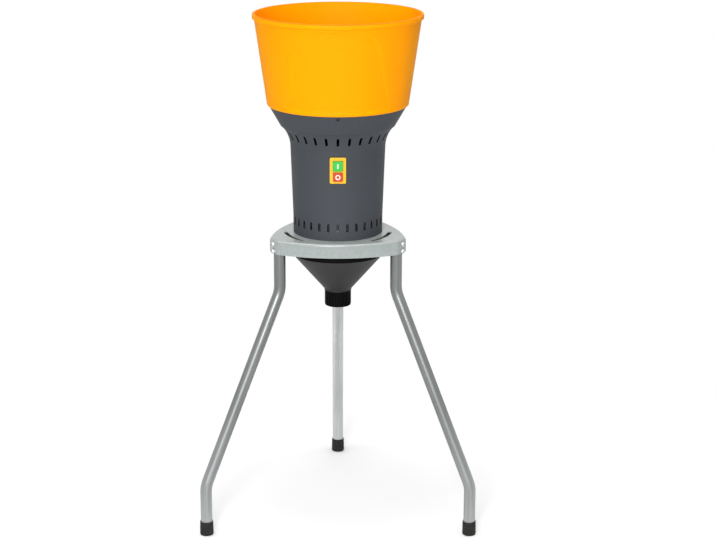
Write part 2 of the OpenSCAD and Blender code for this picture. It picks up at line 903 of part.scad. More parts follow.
module hopper() {
  corner_in_x = hopper_low_r - hopper_wall - corner_in_round;
  wall_z = seat_z + corner_round;
  lip_z = rim_z - lip_h;
  corner_x = hopper_low_r - corner_round;
  in_low_r = nest_low_r - nest_wall_x;
  in_high_r = nest_r - nest_wall_x + seat_slope * hopper_wall;
  color("orange")
    difference() {
      union() {
        rotate_extrude()
          polygon(concat(
            [[0, floor_z], [nest_low_r, floor_z], [nest_kink_r, nest_kink_z], [nest_r, seat_z]],
            arc([corner_x, wall_z], corner_round, -90, 0, 6),
            [[hopper_high_r, lip_z], [rim_r - 1, lip_z]],
            arc([rim_r - 2, lip_z + 3], 2, -30, 0, 2),
            arc([rim_r - 3, rim_z - 3], 3, 0, 90, 5),
            [[hopper_high_r - hopper_wall + 1, rim_z], [hopper_high_r - hopper_wall, rim_z - 1]],
            arc([corner_in_x, seat_z + hopper_wall + corner_in_round], corner_in_round, 0, -90, 5),
            [[in_high_r, seat_z + hopper_wall], [nest_kink_r - nest_wall_x, nest_kink_z + 1],
              [in_low_r, floor_top], [0, floor_top]]));
        for (a = shutter_stop_angles)
          polar(a, shutter_stop_at, floor_top - lap)
            cylinder(r = shutter_stop_r, h = lap + shutter_t + 2);
        for (a = STUD_ANGLES)
          polar(a, stud_r, floor_z - 16)
            cylinder(r = stud_d / 2 + 4.5, h = 16 + floor_t / 2);
        translate([0, 0, floor_z - pivot_boss_h])
          cylinder(r = 8, h = pivot_boss_h + floor_t / 2);
      }
      for (a = STUD_ANGLES)
        polar(a, stud_r, floor_z - 16 - cut)
          cylinder(d = stud_d + 2 * seat_gap, h = 16 + cut - 2);
      translate([0, 0, floor_z - pivot_boss_h - cut])
        cylinder(r = pivot_r + seat_gap, h = pivot_boss_h + floor_t + 2 * cut);
      translate([0, 0, floor_z - cut])
        linear_extrude(floor_t + 2 * cut)
          rotate([0, 0, feed_az])
            sector(feed_r1, feed_r2, feed_half);
      for (a = hopper_screw_angles)
        on_collar(a)
          translate([0, 0, -hopper_screw_in - cut])
            cylinder(d = 4 + 2 * seat_gap, h = hopper_screw_in + cut);
    }
}

module hopper_screws() {
  color("dimgray")
    for (a = hopper_screw_angles)
      on_collar(a) {
        translate([0, 0, -hopper_screw_in])
          cylinder(d = 4, h = hopper_screw_in + 1);
        translate([0, 0, seat_gap])
          domed_head(3.2, 2.2);
      }
}

// The walled passage that leads grain past the motor
module feed_chute() {
  color("silver")
    translate([0, 0, base_top])
      linear_extrude(floor_z - base_top)
        rotate([0, 0, feed_az])
          difference() {
            sector(feed_r1 - chute_wall, feed_r2 + chute_wall, feed_half + chute_side);
            sector(feed_r1, feed_r2, feed_half);
          }
}

module feed_shutter() {
  color("silver")
    translate([0, 0, shutter_z])
      linear_extrude(shutter_t)
        rotate([0, 0, feed_az])
          difference() {
            union() {
              intersection() {
                circle(r = shutter_r);
                wedge(shutter_r, shutter_half);
              }
              circle(r = shutter_hub_r);
            }
            circle(r = pivot_r + pivot_gap);
          }
}

module shutter_knob() {
  color("black")
    polar(feed_az, (feed_r1 + feed_r2) / 2, shutter_z + shutter_t)
      rotate_extrude()
        polygon(concat([[0, 0], [knob_r * 0.7, 0], [knob_r * 0.6, knob_h * 0.4], [knob_r, knob_h * 0.6]],
          arc([knob_r - 3, knob_h - 3], 3, 0, 90, 5),
          [[0, knob_h]]));
}

module shutter_pivot() {
  color("gainsboro") {
    translate([0, 0, floor_z - pivot_boss_h + 2])
      cylinder(r = pivot_r, h = shutter_z + shutter_t + move_gap - floor_z + pivot_boss_h - 2);
    translate([0, 0, shutter_z + shutter_t + move_gap])
      domed_head(7, 4);
  }
}

// ---------- switch ----------

// Places a plan drawing upright, facing the front
module facing_front(y) {
  translate([0, -y, 0])
    rotate([90, 0, 0])
      children();
}

module switch_plate() {
  color("gold")
    facing_front(plate_back)
      linear_extrude(faceplate_t)
        difference() {
          translate([0, switch_mid])
            round_rect(switch_w, switch_h, 3);
          translate([0, start_z])
            square(start_size + 2 * button_gap * [1, 1], center = true);
          translate([0, stop_z])
            square(stop_size + 2 * button_gap * [1, 1], center = true);
        }
}

module switch_box() {
  color("dimgray")
    difference() {
      facing_front(plate_back - box_depth)
        linear_extrude(box_depth)
          translate([0, switch_mid])
            square([box_w, box_h], center = true);
      facing_front(plate_back - well_depth)
        linear_extrude(well_depth + cut)
          translate([0, start_z])
            square(start_size + 2 * button_gap * [1, 1], center = true);
      facing_front(plate_back - well_depth)
        linear_extrude(well_depth + cut)
          translate([0, stop_z])
            square(stop_size + 2 * button_gap * [1, 1], center = true);
    }
}

// A push button that slides into its well, with a rounded cap
module push_button(size, z, proud) {
  stem = well_depth - button_travel - 2 * move_gap;
  facing_front(plate_back - stem)
    linear_extrude(stem + faceplate_t + proud)
      translate([0, z])
        round_rect(size[0], size[1], 1.5);
}

module start_button() color("limegreen") push_button(start_size, start_z, start_proud);
module stop_button() color("tomato") push_button(stop_size, stop_z, stop_proud);

// ---------- motor ----------

// The lower end shield: it closes the chamber and carries the lower bearing
module motor_base() {
  color("lightgray")
    difference() {
      union() {
        translate([0, 0, plate_z])
          cylinder(r = base_r, h = base_t);
        translate([0, 0, plate_z])
          cylinder(r = boss_r, h = low_bearing_z + bearing_h - plate_z);
        translate([0, 0, base_top - 1])
          tube(motor_r - motor_wall - seat_gap, motor_r - 2 * motor_wall, 6);
      }
      translate([0, 0, plate_z - cut])
        cylinder(r = seal_r, h = seal_h + cut);
      translate([0, 0, plate_z - cut])
        cylinder(r = bore_neck_r, h = low_bearing_z - plate_z + 2 * cut);
      translate([0, 0, low_bearing_z])
        cylinder(r = bearing_r + seat_gap, h = bearing_h + cut);
      translate([0, 0, plate_z - cut])
        linear_extrude(base_t + 2 * cut) {
          rotate([0, 0, feed_az])
            sector(feed_r1, feed_r2, feed_half);
          for (a = STUD_ANGLES)
            rotate([0, 0, a])
              translate([stud_r, 0])
                circle(d = stud_d + 4 * seat_gap);
          for (a = MOTOR_BOLT_ANGLES)
            rotate([0, 0, a])
              translate([motor_bolt_r, 0])
                circle(d = motor_bolt_d + 2 * seat_gap);
        }
    }
}

module motor_casing() {
  color("silver")
    difference() {
      translate([0, 0, base_top])
        tube(motor_r, motor_r - motor_wall, motor_h);
      for (z = [base_top + 17, casing_top - 17])
        slot_row(8, z, motor_r - 2 * motor_wall, motor_r + cut, 9, 18);
    }
}

// The upper end shield, with windows for the cooling air
module motor_cap() {
  color("lightgray")
    difference() {
      union() {
        translate([0, 0, casing_top])
          linear_extrude(cap_t)
            difference() {
              union() {
                circle(r = motor_r);
                for (a = MOTOR_BOLT_ANGLES)
                  rotate([0, 0, a])
                    translate([motor_bolt_r, 0])
                      circle(r = 6);
              }
              for (a = [0:90:270])
                rotate([0, 0, a + 45])
                  sector(boss_r + 3, motor_r - motor_wall - 3, 30);
              for (a = MOTOR_BOLT_ANGLES)
                rotate([0, 0, a])
                  translate([motor_bolt_r, 0])
                    circle(d = motor_bolt_d + 2 * seat_gap);
            }
        translate([0, 0, high_bearing_z])
          cylinder(r = boss_r, h = bearing_h + cap_t);
      }
      translate([0, 0, high_bearing_z - cut])
        cylinder(r = bearing_r + seat_gap, h = bearing_h + cut);
      translate([0, 0, high_bearing_z])
        cylinder(r = bore_neck_r, h = bearing_h + cap_t + cut);
    }
}

module motor_bolts() {
  color("gainsboro")
    for (a = MOTOR_BOLT_ANGLES) {
      polar(a, motor_bolt_r, plate_z)
        cylinder(d = motor_bolt_d, h = cap_top - plate_z);
      polar(a, motor_bolt_r, cap_top)
        cylinder(r = motor_bolt_d * 0.9, h = 3.5, $fn = 6);
    }
}

module stator_core() {
  color("slategray")
    translate([0, 0, stack_z])
      linear_extrude(stack_h)
        difference() {
          circle(r = stator_r);
          circle(r = rotor_r + air_gap);
          for (i = [0:slot_count - 1])
            rotate([0, 0, i * 360 / slot_count])
              translate([coil_r1, -2.6])
                square([coil_r2 - coil_r1, 5.2]);
          for (i = [0:slot_count - 1])
            rotate([0, 0, i * 360 / slot_count])
              translate([rotor_r, -1])
                square([coil_r1 - rotor_r + 1, 2]);
        }
}

// The copper coils: bars through the stator's slots and rounded end turns
module stator_windings() {
  bar_r1 = coil_r1 + 0.5;
  bar_r2 = coil_r2 - 0.5;
  color("peru") {
    for (i = [0:slot_count - 1])
      polar(i * 360 / slot_count, bar_r1, stack_z - 3)
        translate([0, -2.3, 0])
          cube([bar_r2 - bar_r1, 4.6, stack_h + 6]);
    for (s = [-1, 1])
      translate([0, 0, stack_z + stack_h / 2 + s * (stack_h / 2 + 1)])
        rotate_extrude()
          polygon([[bar_r1 - 1, 0], [bar_r2 + 1, 0], [bar_r2 + 1, s * (end_turn_h - 4)],
            [bar_r2 - 2, s * end_turn_h], [bar_r1 + 2, s * end_turn_h], [bar_r1 - 1, s * (end_turn_h - 4)]]);
  }
}

module rotor_core() {
  color("slategray")
    translate([0, 0, stack_z])
      difference() {
        union() {
          cylinder(r = rotor_r, h = stack_h);
          translate([0, 0, -5])
            cylinder(r = rotor_r - 2, h = stack_h + 10);
        }
        translate([0, 0, -5 - cut])
          cylinder(r = core_r, h = stack_h + 10 + 2 * cut);
      }
}

module motor_shaft() {
  color("silver")
    rotate_extrude()
      polygon([[0, shaft_low_z], [thread_r - 1, shaft_low_z], [thread_r, shaft_low_z + 1],
        [thread_r, blade_top], [shaft_r, blade_top], [shaft_r, low_bearing_z + bearing_h],
        [core_r, low_bearing_z + bearing_h], [core_r, high_bearing_z], [shaft_r, high_bearing_z],
        [shaft_r, casing_top + 1], [fan_seat_r, casing_top + 1], [fan_seat_r, shaft_top_z - 1],
        [fan_seat_r - 1, shaft_top_z], [0, shaft_top_z]]);
}

// Ball bearings: an outer race, an inner race and the balls between them
ball_r = 2.8;
race_mid = bore_neck_r;
BEARING_ZS = [low_bearing_z, high_bearing_z];

module bearing_outer_rings() {
  color("silver")
    for (z = BEARING_ZS)
      translate([0, 0, z])
        difference() {
          tube(bearing_r, race_mid + 1.6, bearing_h);
          translate([0, 0, bearing_h / 2])
            rotate_extrude()
              translate([race_mid, 0])
                circle(r = ball_r + move_gap);
        }
}

module bearing_inner_rings() {
  color("silver")
    for (z = BEARING_ZS)
      translate([0, 0, z])
        difference() {
          tube(race_mid - 1.6, shaft_r, bearing_h);
          translate([0, 0, bearing_h / 2])
            rotate_extrude()
              translate([race_mid, 0])
                circle(r = ball_r + move_gap);
        }
}

module bearing_balls() {
  color("silver")
    for (z = BEARING_ZS, i = [0:8])
      polar(i * 40, race_mid, z + bearing_h / 2)
        sphere(r = ball_r, $fn = 48);
}

module shaft_seal() {
  color("black")
    translate([0, 0, plate_z])
      difference() {
        tube(seal_r - seat_gap, shaft_r + move_gap, seal_h);
        translate([0, 0, seal_h - 4])
          tube(seal_r - 2.5, shaft_r + 1.5, 5);
      }
}

module cooling_fan() {
  color("black")
    translate([0, 0, fan_z])
      difference() {
        union() {
          cylinder(r = fan_r, h = 2);
          cylinder(r = fan_seat_r + 7, h = fan_h + 3);
          for (i = [0:8])
            rotate([0, 0, i * 40])
              translate([fan_seat_r + 5, -1, 1])
                cube([fan_r - fan_seat_r - 6, 2, fan_h]);
        }
        translate([0, 0, -cut])
          cylinder(r = fan_seat_r + seat_gap, h = fan_h + 10);
      }
}

module fan_nut() {
  color("gainsboro")
    translate([0, 0, fan_z + fan_h + 3])
      hex_nut(20, 2 * fan_seat_r + 2 * seat_gap, 6);
}

module run_capacitor() {
  color("gainsboro")
    polar(cap_az, cap_pos_r, base_top) {
      rotate_extrude()
        polygon(concat([[0, 0], [cap_r - 1, 0], [cap_r, 1]],
          arc([cap_r - 2, cap_h - 2], 2, 0, 90, 4),
          [[cap_r - 3, cap_h - 1], [0, cap_h - 1]]));
      for (y = [-5, 5])
        translate([-0.4, y - 3, cap_h - 2])
          cube([0.8, 6, 10]);
    }
}

// A band round the capacitor, on a saddle against the motor casing
module capacitor_clamp() {
  color("silver")
    translate([0, 0, base_top + cap_h * 0.55])
      linear_extrude(12)
        difference() {
          union() {
            rotate([0, 0, cap_az])
              translate([cap_pos_r, 0])
                circle(r = cap_r + seat_gap + clamp_band);
            rotate([0, 0, cap_az])
              translate([motor_r - 2, -8])
                square([cap_pos_r - motor_r, 16]);
          }
          rotate([0, 0, cap_az])
            translate([cap_pos_r, 0])
              circle(r = cap_r + seat_gap);
          circle(r = motor_r);
        }
}

module terminal_block() {
  color("gainsboro")
    polar(terminal_az, 72, base_top)
      difference() {
        translate([-8, -17, 0])
          cube([16, 34, 14]);
        for (i = [-1.5:1:1.5]) {
          translate([0, i * 8, 5])
            cylinder(d = 4.5, h = 10);
          translate([-9, i * 8, 6])
            rotate([0, 90, 0])
              cylinder(d = 3, h = 18);
        }
      }
}

// ---------- assembly ----------

leg_left();
leg_right();
leg_rear();
foot_left();
foot_right();
foot_rear();
support_plate();
leg_bolts();
leg_nuts();
chamber_ring();
tie_studs();
stud_nuts();
sieve_clamps();
sieve();
funnel();
funnel_screws();
outlet_collar();
housing();
cable_gland();
gland_locknut();
hopper();
hopper_screws();
feed_chute();
feed_shutter();
shutter_knob();
shutter_pivot();
switch_plate();
switch_box();
start_button();
stop_button();
motor_base();
motor_casing();
motor_cap();
motor_bolts();
stator_core();
stator_windings();
rotor_core();
motor_shaft();
bearing_outer_rings();
bearing_inner_rings();
bearing_balls();
shaft_seal();
cooling_fan();
fan_nut();
run_capacitor();
capacitor_clamp();
terminal_block();
lower_blade();
upper_blade();
blade_spacer();
blade_washer();
blade_nut();
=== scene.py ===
"""Looks of an electric grain mill on a tripod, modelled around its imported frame."""
import json
import math

import bpy
from mathutils import Matrix, Vector


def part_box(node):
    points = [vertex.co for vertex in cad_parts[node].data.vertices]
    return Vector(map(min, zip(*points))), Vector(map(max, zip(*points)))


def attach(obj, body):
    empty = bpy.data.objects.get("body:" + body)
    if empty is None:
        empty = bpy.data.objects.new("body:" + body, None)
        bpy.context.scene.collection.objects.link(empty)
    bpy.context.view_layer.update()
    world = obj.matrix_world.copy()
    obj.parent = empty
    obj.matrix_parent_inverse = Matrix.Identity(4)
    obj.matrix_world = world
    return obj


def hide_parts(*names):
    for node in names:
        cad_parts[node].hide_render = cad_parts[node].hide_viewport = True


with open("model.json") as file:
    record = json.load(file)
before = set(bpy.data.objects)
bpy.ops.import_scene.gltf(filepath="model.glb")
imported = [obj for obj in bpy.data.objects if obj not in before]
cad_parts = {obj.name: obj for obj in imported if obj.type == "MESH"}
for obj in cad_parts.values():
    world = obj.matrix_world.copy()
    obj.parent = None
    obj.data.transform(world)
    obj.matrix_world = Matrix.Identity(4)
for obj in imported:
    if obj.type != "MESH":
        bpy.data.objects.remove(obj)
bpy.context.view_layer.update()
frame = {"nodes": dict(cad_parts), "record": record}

bl_info = {
    "name": "Grain Mill Looks",
    "version": (1, 0, 0),
    "blender": (4, 5, 0),
    "location": "View3D > Sidebar > Mill",
    "description": "Models and finishes the visible pieces of an electric grain mill",
    "category": "Object",
}

NODES = frame["nodes"]
SLOT_OF = {s["node"]: s["material_slot"] for s in frame["record"]["subparts"]}
MM = 0.001
TAU = 2 * math.pi
MERGE = 0.002 * MM

# Fixed places on the mill, in millimetres and in degrees about its axis.
LEG_ANGLES = {"rear": 90, "left": 210, "right": 330}
BOLT_LEVELS = (623, 608)
COLLAR_SCREW_ANGLES = (30, 150, 270)
COLLAR_SCREW_REACH, COLLAR_SCREW_DROP, COLLAR_SLOPE = 142.57, 6, 29.78
NEST_DEPTH = 46.5
SHOULDER, WALL_FOOT, WALL_FLARE, LIP_HEIGHT = 3, 149.5, 24.9, 12.5
STUD_ANGLES, STUD_REACH = (45, 135, 225, 315), 82
PEG_ANGLES, PEG_REACH = (67.85, 152.15), 60
GLAND_ANGLE, GLAND_REACH, GLAND_LEVEL = 122, 95.92, 690

# Heights in metres between which painted shade blackens the metal of the motor's top end.
SHADED_FROM, SHADED_TO = 0.8, 0.85


# ---------- sizes and colours that a user would change ----------

def length(name, about, value, most=2.0):
    """A size in metres."""
    return bpy.props.FloatProperty(
        name=name, description=about, default=value, min=0.0, max=most,
        subtype="DISTANCE", unit="LENGTH", precision=5)


def colour(name, about, value):
    """A scene-linear colour."""
    return bpy.props.FloatVectorProperty(
        name=name, description=about, default=value, size=3, min=0.0, max=1.0, subtype="COLOR")


def share(name, about, value):
    """A number from 0 to 1."""
    return bpy.props.FloatProperty(
        name=name, description=about, default=value, min=0.0, max=1.0, subtype="FACTOR")


def number(name, about, value, **limits):
    """A number of another kind, such as an angle or a power."""
    return bpy.props.FloatProperty(name=name, description=about, default=value, **limits)


class MillSizes(bpy.types.PropertyGroup):
    """Sizes of the modelled pieces, in the frame's own measures."""
    leg_radius: length("Leg radius", "Outside radius of the leg tube", 12.5 * MM)
    leg_wall: length("Leg wall", "Wall of the leg tube", 1.5 * MM)
    leg_top_reach: length("Leg top reach", "Axis of the mill to a leg at the plate", 142.3 * MM)
    leg_foot_reach: length("Leg foot reach", "Axis of the mill to a leg at the floor", 326 * MM)
    leg_top_z: length("Leg top", "Height of the top end of a leg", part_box("leg_rear")[1].z)
    knee_z: length("Upper bend", "Height of the upper bend of a leg", 519 * MM)
    ankle_z: length("Lower bend", "Height of the lower bend of a leg", 110 * MM)
    bend_radius: length("Bend radius", "Radius of the bends on the centre line", 62 * MM)
    foot_height: length("Foot height", "Height of a rubber foot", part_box("foot_rear")[1].z)
    seat_z: length("Hopper seat", "Height of the housing's top edge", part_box("housing")[1].z)
    rim_radius: length("Rim radius", "Outside radius of the hopper's rim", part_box("hopper")[1].x)
    rim_z: length("Rim height", "Height of the hopper's rim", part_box("hopper")[1].z)
    hopper_wall: length("Hopper wall", "Wall of the hopper", 3 * MM)
    corner_reach: length(
        "Corner reach", "Axis of the mill to a corner face of the plate", 156.9 * MM)
    bolt_radius: length("Bolt head radius", "Radius of a leg bolt's head", 5.1 * MM)


class MillColours(bpy.types.PropertyGroup):
    """Colours of the finishes."""
    amber: colour("Hopper", "Amber plastic of the hopper", (0.855, 0.3, 0.0))
    charcoal: colour("Housing", "Grey plastic of the housing", (0.043, 0.048, 0.0555))
    soot: colour("Funnel", "Dark plastic of the funnel", (0.021, 0.021, 0.0213))
    black: colour("Black parts", "Black moulded plastic", (0.002, 0.002, 0.002))
    rubber: colour("Rubber", "Rubber of the feet", (0.011, 0.011, 0.011))
    plate: colour("Plate paint", "Grey paint of the support plate", (0.237, 0.265, 0.259))
    zinc: colour("Zinc", "Galvanised steel", (0.38, 0.392, 0.394))
    yellow: colour("Switch face", "Yellow plastic of the switch", (0.72, 0.42, 0.02))
    green: colour("Start button", "Green plastic", (0.04, 0.42, 0.06))
    red: colour("Stop button", "Red plastic", (0.5, 0.055, 0.022))
    sign: colour("Signs", "Pale plastic of the signs on the buttons", (0.66, 0.66, 0.6))


class MillStage(bpy.types.PropertyGroup):
    """Camera, floor and lights."""
    camera_back: length("Camera distance", "Level distance from the mill's axis", 3768.7 * MM, 20)
    camera_height: length("Camera height", "Height of the camera", 1620.4 * MM, 20)
    camera_pitch: number("Camera pitch", "How far the camera looks down", math.radians(15.93),
                         subtype="ANGLE", unit="ROTATION")
    lens: number("Lens", "Focal length in millimetres", 91.25, min=10, max=300)
    shift: number("Shift", "Sideways shift of the view", 20.1 / 716)
    floor_radius: length("Floor radius", "Radius of the floor", 30.0, 200)
    floor_colour: colour("Floor", "Colour of the floor", (0.68, 0.68, 0.68))
    key_power: number("Key light", "Power of the main light in watts", 122, min=0)
    top_power: number("Top light", "Power of the light overhead in watts", 350, min=0)
    back_power: number("Back light", "Power of the light behind in watts", 14, min=0)
    world_light: share("World light", "Strength of the light from all round", 0.22)


# ---------- shared effects, as node groups ----------

def new_group(name, inputs, outputs):
    """An empty node group with the given sockets; returns it, its nodes, links and two ends."""
    group = bpy.data.node_groups.new(name, "ShaderNodeTree")
    for kind, label, value in inputs:
        socket = group.interface.new_socket(name=label, in_out="INPUT", socket_type=kind)
        if value is not None:
            socket.default_value = value
    for kind, label in outputs:
        group.interface.new_socket(name=label, in_out="OUTPUT", socket_type=kind)
    into = group.nodes.new("NodeGroupInput")
    out = group.nodes.new("NodeGroupOutput")
    return group, group.nodes, group.links, into, out


def feed(links, value, socket):
    """Puts a plain value or another node's output into a socket."""
    if isinstance(value, bpy.types.NodeSocket):
        links.new(value, socket)
    else:
        socket.default_value = value


def preset(node, **values):
    """Sets a node's own sockets; an underscore stands for a space in a socket's name."""
    for label, value in values.items():
        node.inputs[label.replace("_", " ")].default_value = value


def blend_colours(nodes, links, factor, first, second, blend="MIX"):
    """A colour mix node; factor and colours are sockets or plain values."""
    mix = nodes.new("ShaderNodeMix")
    mix.data_type = "RGBA"
    mix.blend_type = blend
    # Its sockets share their names, so the ones for colours are found by their place.
    for place, value in ((0, factor), (6, first), (7, second)):
        feed(links, value, mix.inputs[place])
    return mix.outputs[2]


def math_node(nodes, links, what, first, second, clamp=False):
    """A math node; each value is a socket or a number."""
    node = nodes.new("ShaderNodeMath")
    node.operation = what
    node.use_clamp = clamp
    feed(links, first, node.inputs[0])
    feed(links, second, node.inputs[1])
    return node.outputs[0]


def product(nodes, links, first, *others):
    """Values multiplied, each step held between 0 and 1."""
    for other in others:
        first = math_node(nodes, links, "MULTIPLY", first, other, True)
    return first


def vector_node(nodes, links, what, first, second=None):
    """A vector math node; a length or a dot product gives a value, the rest a vector."""
    node = nodes.new("ShaderNodeVectorMath")
    node.operation = what
    feed(links, first, node.inputs[0])
    if second is not None:
        feed(links, second, node.inputs[1])
    return node.outputs["Value" if what in ("LENGTH", "DOT_PRODUCT") else "Vector"]


def object_place(nodes):
    """The place of a surface point in the mill's frame."""
    return nodes.new("ShaderNodeTexCoord").outputs["Object"]


def own_vector(nodes, attribute):
    """A vector attribute that the piece itself carries."""
    reader = nodes.new("ShaderNodeAttribute")
    reader.attribute_name = attribute
    return reader.outputs["Vector"]


def geometry(nodes, what):
    """One of the surface's own values, such as its normal."""
    return nodes.new("ShaderNodeNewGeometry").outputs[what]


def up_part(nodes, links, vector):
    """The Z part of a vector."""
    split = nodes.new("ShaderNodeSeparateXYZ")
    links.new(vector, split.inputs["Vector"])
    return split.outputs["Z"]


def noise(nodes, links, vector, scale, detail=3.0, rough=0.5):
    """A noise texture's value, on a vector socket."""
    node = nodes.new("ShaderNodeTexNoise")
    preset(node, Detail=detail, Roughness=rough)
    feed(links, scale, node.inputs["Scale"])
    links.new(vector, node.inputs["Vector"])
    return node.outputs["Fac"]


def ramp(nodes, links, factor, low, high):
    """Stretches a value so that low becomes 0 and high becomes 1."""
    node = nodes.new("ShaderNodeMapRange")
    preset(node, From_Min=low, From_Max=high)
    links.new(factor, node.inputs["Value"])
    return node.outputs["Result"]


def bumped(nodes, links, height, strength, distance):
    """The normal of a surface that is raised by a height."""
    bump = nodes.new("ShaderNodeBump")
    preset(bump, Distance=distance)
    links.new(strength, bump.inputs["Strength"])
    links.new(height, bump.inputs["Height"])
    return bump.outputs["Normal"]


def make_grain_group():
    """Fine moulded grain: a normal, and a mask of its high spots."""
    group, n, k, into, out = new_group(
        "Moulded grain",
        [("NodeSocketFloat", "Size", 900.0), ("NodeSocketFloat", "Depth", 0.2)],
        [("NodeSocketVector", "Normal"), ("NodeSocketFloat", "Spots")])
    fine = noise(n, k, object_place(n), into.outputs["Size"], 2.0)
    k.new(bumped(n, k, fine, into.outputs["Depth"], 0.2 * MM), out.inputs["Normal"])
    k.new(fine, out.inputs["Spots"])
    return group


def make_drift_group():
    """Slow change of colour over a moulded or painted surface."""
    group, n, k, into, out = new_group(
        "Colour drift",
        [("NodeSocketColor", "Colour", (1, 1, 1, 1)), ("NodeSocketColor", "Shade", (0, 0, 0, 1)),
         ("NodeSocketFloat", "Amount", 0.2), ("NodeSocketFloat", "Size", 8.0)],
        [("NodeSocketColor", "Colour"), ("NodeSocketFloat", "Mask")])
    slow = ramp(n, k, noise(n, k, object_place(n), into.outputs["Size"], 4.0), 0.35, 0.7)
    part = product(n, k, slow, into.outputs["Amount"])
    k.new(blend_colours(n, k, part, into.outputs["Colour"], into.outputs["Shade"]),
          out.inputs["Colour"])
    k.new(slow, out.inputs["Mask"])
    return group


def make_streak_group():
    """Long thin streaks along Z of the vector that comes in, as drawn metal has."""
    group, n, k, into, out = new_group(
        "Drawn streaks",
        [("NodeSocketVector", "Vector", None), ("NodeSocketFloat", "Size", 220.0),
         ("NodeSocketFloat", "Depth", 0.15)],
        [("NodeSocketFloat", "Streaks"), ("NodeSocketVector", "Normal")])
    squeeze = n.new("ShaderNodeMapping")
    preset(squeeze, Scale=(1.0, 1.0, 0.03))
    k.new(into.outputs["Vector"], squeeze.inputs["Vector"])
    thin = noise(n, k, squeeze.outputs["Vector"], into.outputs["Size"], 4.0, 0.6)
    k.new(ramp(n, k, thin, 0.3, 0.7), out.inputs["Streaks"])
    k.new(bumped(n, k, thin, into.outputs["Depth"], 0.1 * MM), out.inputs["Normal"])
    return group


def make_dust_group():
    """Fine meal dust that lies on faces that look up."""
    group, n, k, into, out = new_group(
        "Meal dust",
        [("NodeSocketColor", "Colour", (1, 1, 1, 1)), ("NodeSocketFloat", "Amount", 0.1)],
        [("NodeSocketColor", "Colour"), ("NodeSocketFloat", "Mask")])
    facing = ramp(n, k, up_part(n, k, geometry(n, "Normal")), 0.35, 1.0)
    patches = ramp(n, k, noise(n, k, object_place(n), 60.0, 5.0), 0.42, 0.66)
    mask = product(n, k, facing, patches, into.outputs["Amount"])
    meal = (0.62, 0.52, 0.38, 1)
    k.new(blend_colours(n, k, mask, into.outputs["Colour"], meal), out.inputs["Colour"])
    k.new(mask, out.inputs["Mask"])
    return group


def make_wear_group():
    """Rubbed edges and a painted edge highlight: a mask that is high where the surface is sharply
    raised.
    """
    group, n, k, into, out = new_group(
        "Edge wear",
        [("NodeSocketFloat", "Amount", 0.5)],
        [("NodeSocketFloat", "Mask")])
    edge = ramp(n, k, geometry(n, "Pointiness"), 0.52, 0.6)
    broken = ramp(n, k, noise(n, k, object_place(n), 140.0, 5.0), 0.35, 0.6)
    k.new(product(n, k, edge, broken, into.outputs["Amount"]), out.inputs["Mask"])
    return group


EFFECTS = {}


def effect(nodes, name, **values):
    """Places a shared effect in a material with its own values."""
    node = nodes.new("ShaderNodeGroup")
    node.node_tree = EFFECTS[name]
    preset(node, **values)
    return node


# ---------- finishes ----------

def opaque(rgb):
    """A colour with full alpha."""
    return (rgb[0], rgb[1], rgb[2], 1.0)


def toned(rgb, times):
    """A colour made darker or brighter."""
    return (rgb[0] * times, rgb[1] * times, rgb[2] * times, 1.0)


def graph(owner):
    """The nodes and links of a material or a world."""
    return owner.node_tree.nodes, owner.node_tree.links


def blank_finish(name, metallic, roughness):
    """A new material; returns it with its nodes, links and surface shader."""
    finish = bpy.data.materials.new(name)
    finish.use_nodes = True
    surface = finish.node_tree.nodes["Principled BSDF"]
    preset(surface, Metallic=metallic, Roughness=roughness)
    return finish, *graph(finish), surface


def plastic(name, rgb, roughness=0.45, grain=0.25, size=1400.0, drift=0.18, dust=0.0, shine=0.25):
    """Moulded plastic: fine grain, a slow drift of colour, and gloss that changes with it."""
    finish, n, k, surface = blank_finish(name, 0.0, roughness)
    preset(surface, Specular_IOR_Level=shine)
    drifted = effect(n, "drift", Colour=opaque(rgb), Shade=toned(rgb, 0.78),
                     Amount=drift, Size=9.0)
    last = drifted.outputs["Colour"]
    if dust:
        dusted = effect(n, "dust", Amount=dust)
        k.new(last, dusted.inputs["Colour"])
        last = dusted.outputs["Colour"]
    k.new(last, surface.inputs["Base Color"])
    grained = effect(n, "grain", Size=size, Depth=grain)
    k.new(grained.outputs["Normal"], surface.inputs["Normal"])
    gloss = math_node(n, k, "MULTIPLY", grained.outputs["Spots"], 0.16)
    mottled = math_node(n, k, "MULTIPLY", drifted.outputs["Mask"], 0.08)
    k.new(math_node(n, k, "ADD", math_node(n, k, "ADD", gloss, mottled), roughness - 0.1, True),
          surface.inputs["Roughness"])
    return finish


def tinted(finish, factor, shade):
    """Multiplies a finish's colour by a shade, as far as a factor says."""
    n, k = graph(finish)
    colour_in = n["Principled BSDF"].inputs["Base Color"]
    before = colour_in.links[0].from_socket
    k.new(blend_colours(n, k, factor, before, shade, "MULTIPLY"), colour_in)
    return finish


def shaded_metal(finish):
    """Blackens a metal with painted shade on the motor's top end."""
    n, k = graph(finish)
    height = up_part(n, k, object_place(n))
    above = math_node(n, k, "GREATER_THAN", height, SHADED_FROM)
    below = math_node(n, k, "LESS_THAN", height, SHADED_TO)
    return tinted(finish, product(n, k, above, below), (0.03, 0.03, 0.03, 1))


def shell_plastic(name, rgb):
    """Grey plastic with painted shade, near black, on the inner side and slot walls: what looks
    out or up is grey.
    """
    finish = plastic(name, rgb, roughness=0.62, grain=0.35, size=1500.0, drift=0.14,
                     dust=0.03, shine=0.2)
    n, k = graph(finish)
    normal = geometry(n, "True Normal")
    level = vector_node(n, k, "MULTIPLY", object_place(n), (1, 1, 0))
    away = vector_node(n, k, "NORMALIZE", level)
    # Painted shade: inward faces that do not look up are darkened to near black.
    inner = ramp(n, k, vector_node(n, k, "DOT_PRODUCT", away, normal), 0.5, 0.3)
    not_up = math_node(n, k, "LESS_THAN", up_part(n, k, normal), 0.8)
    return tinted(finish, product(n, k, inner, not_up), (0.05, 0.05, 0.05, 1))


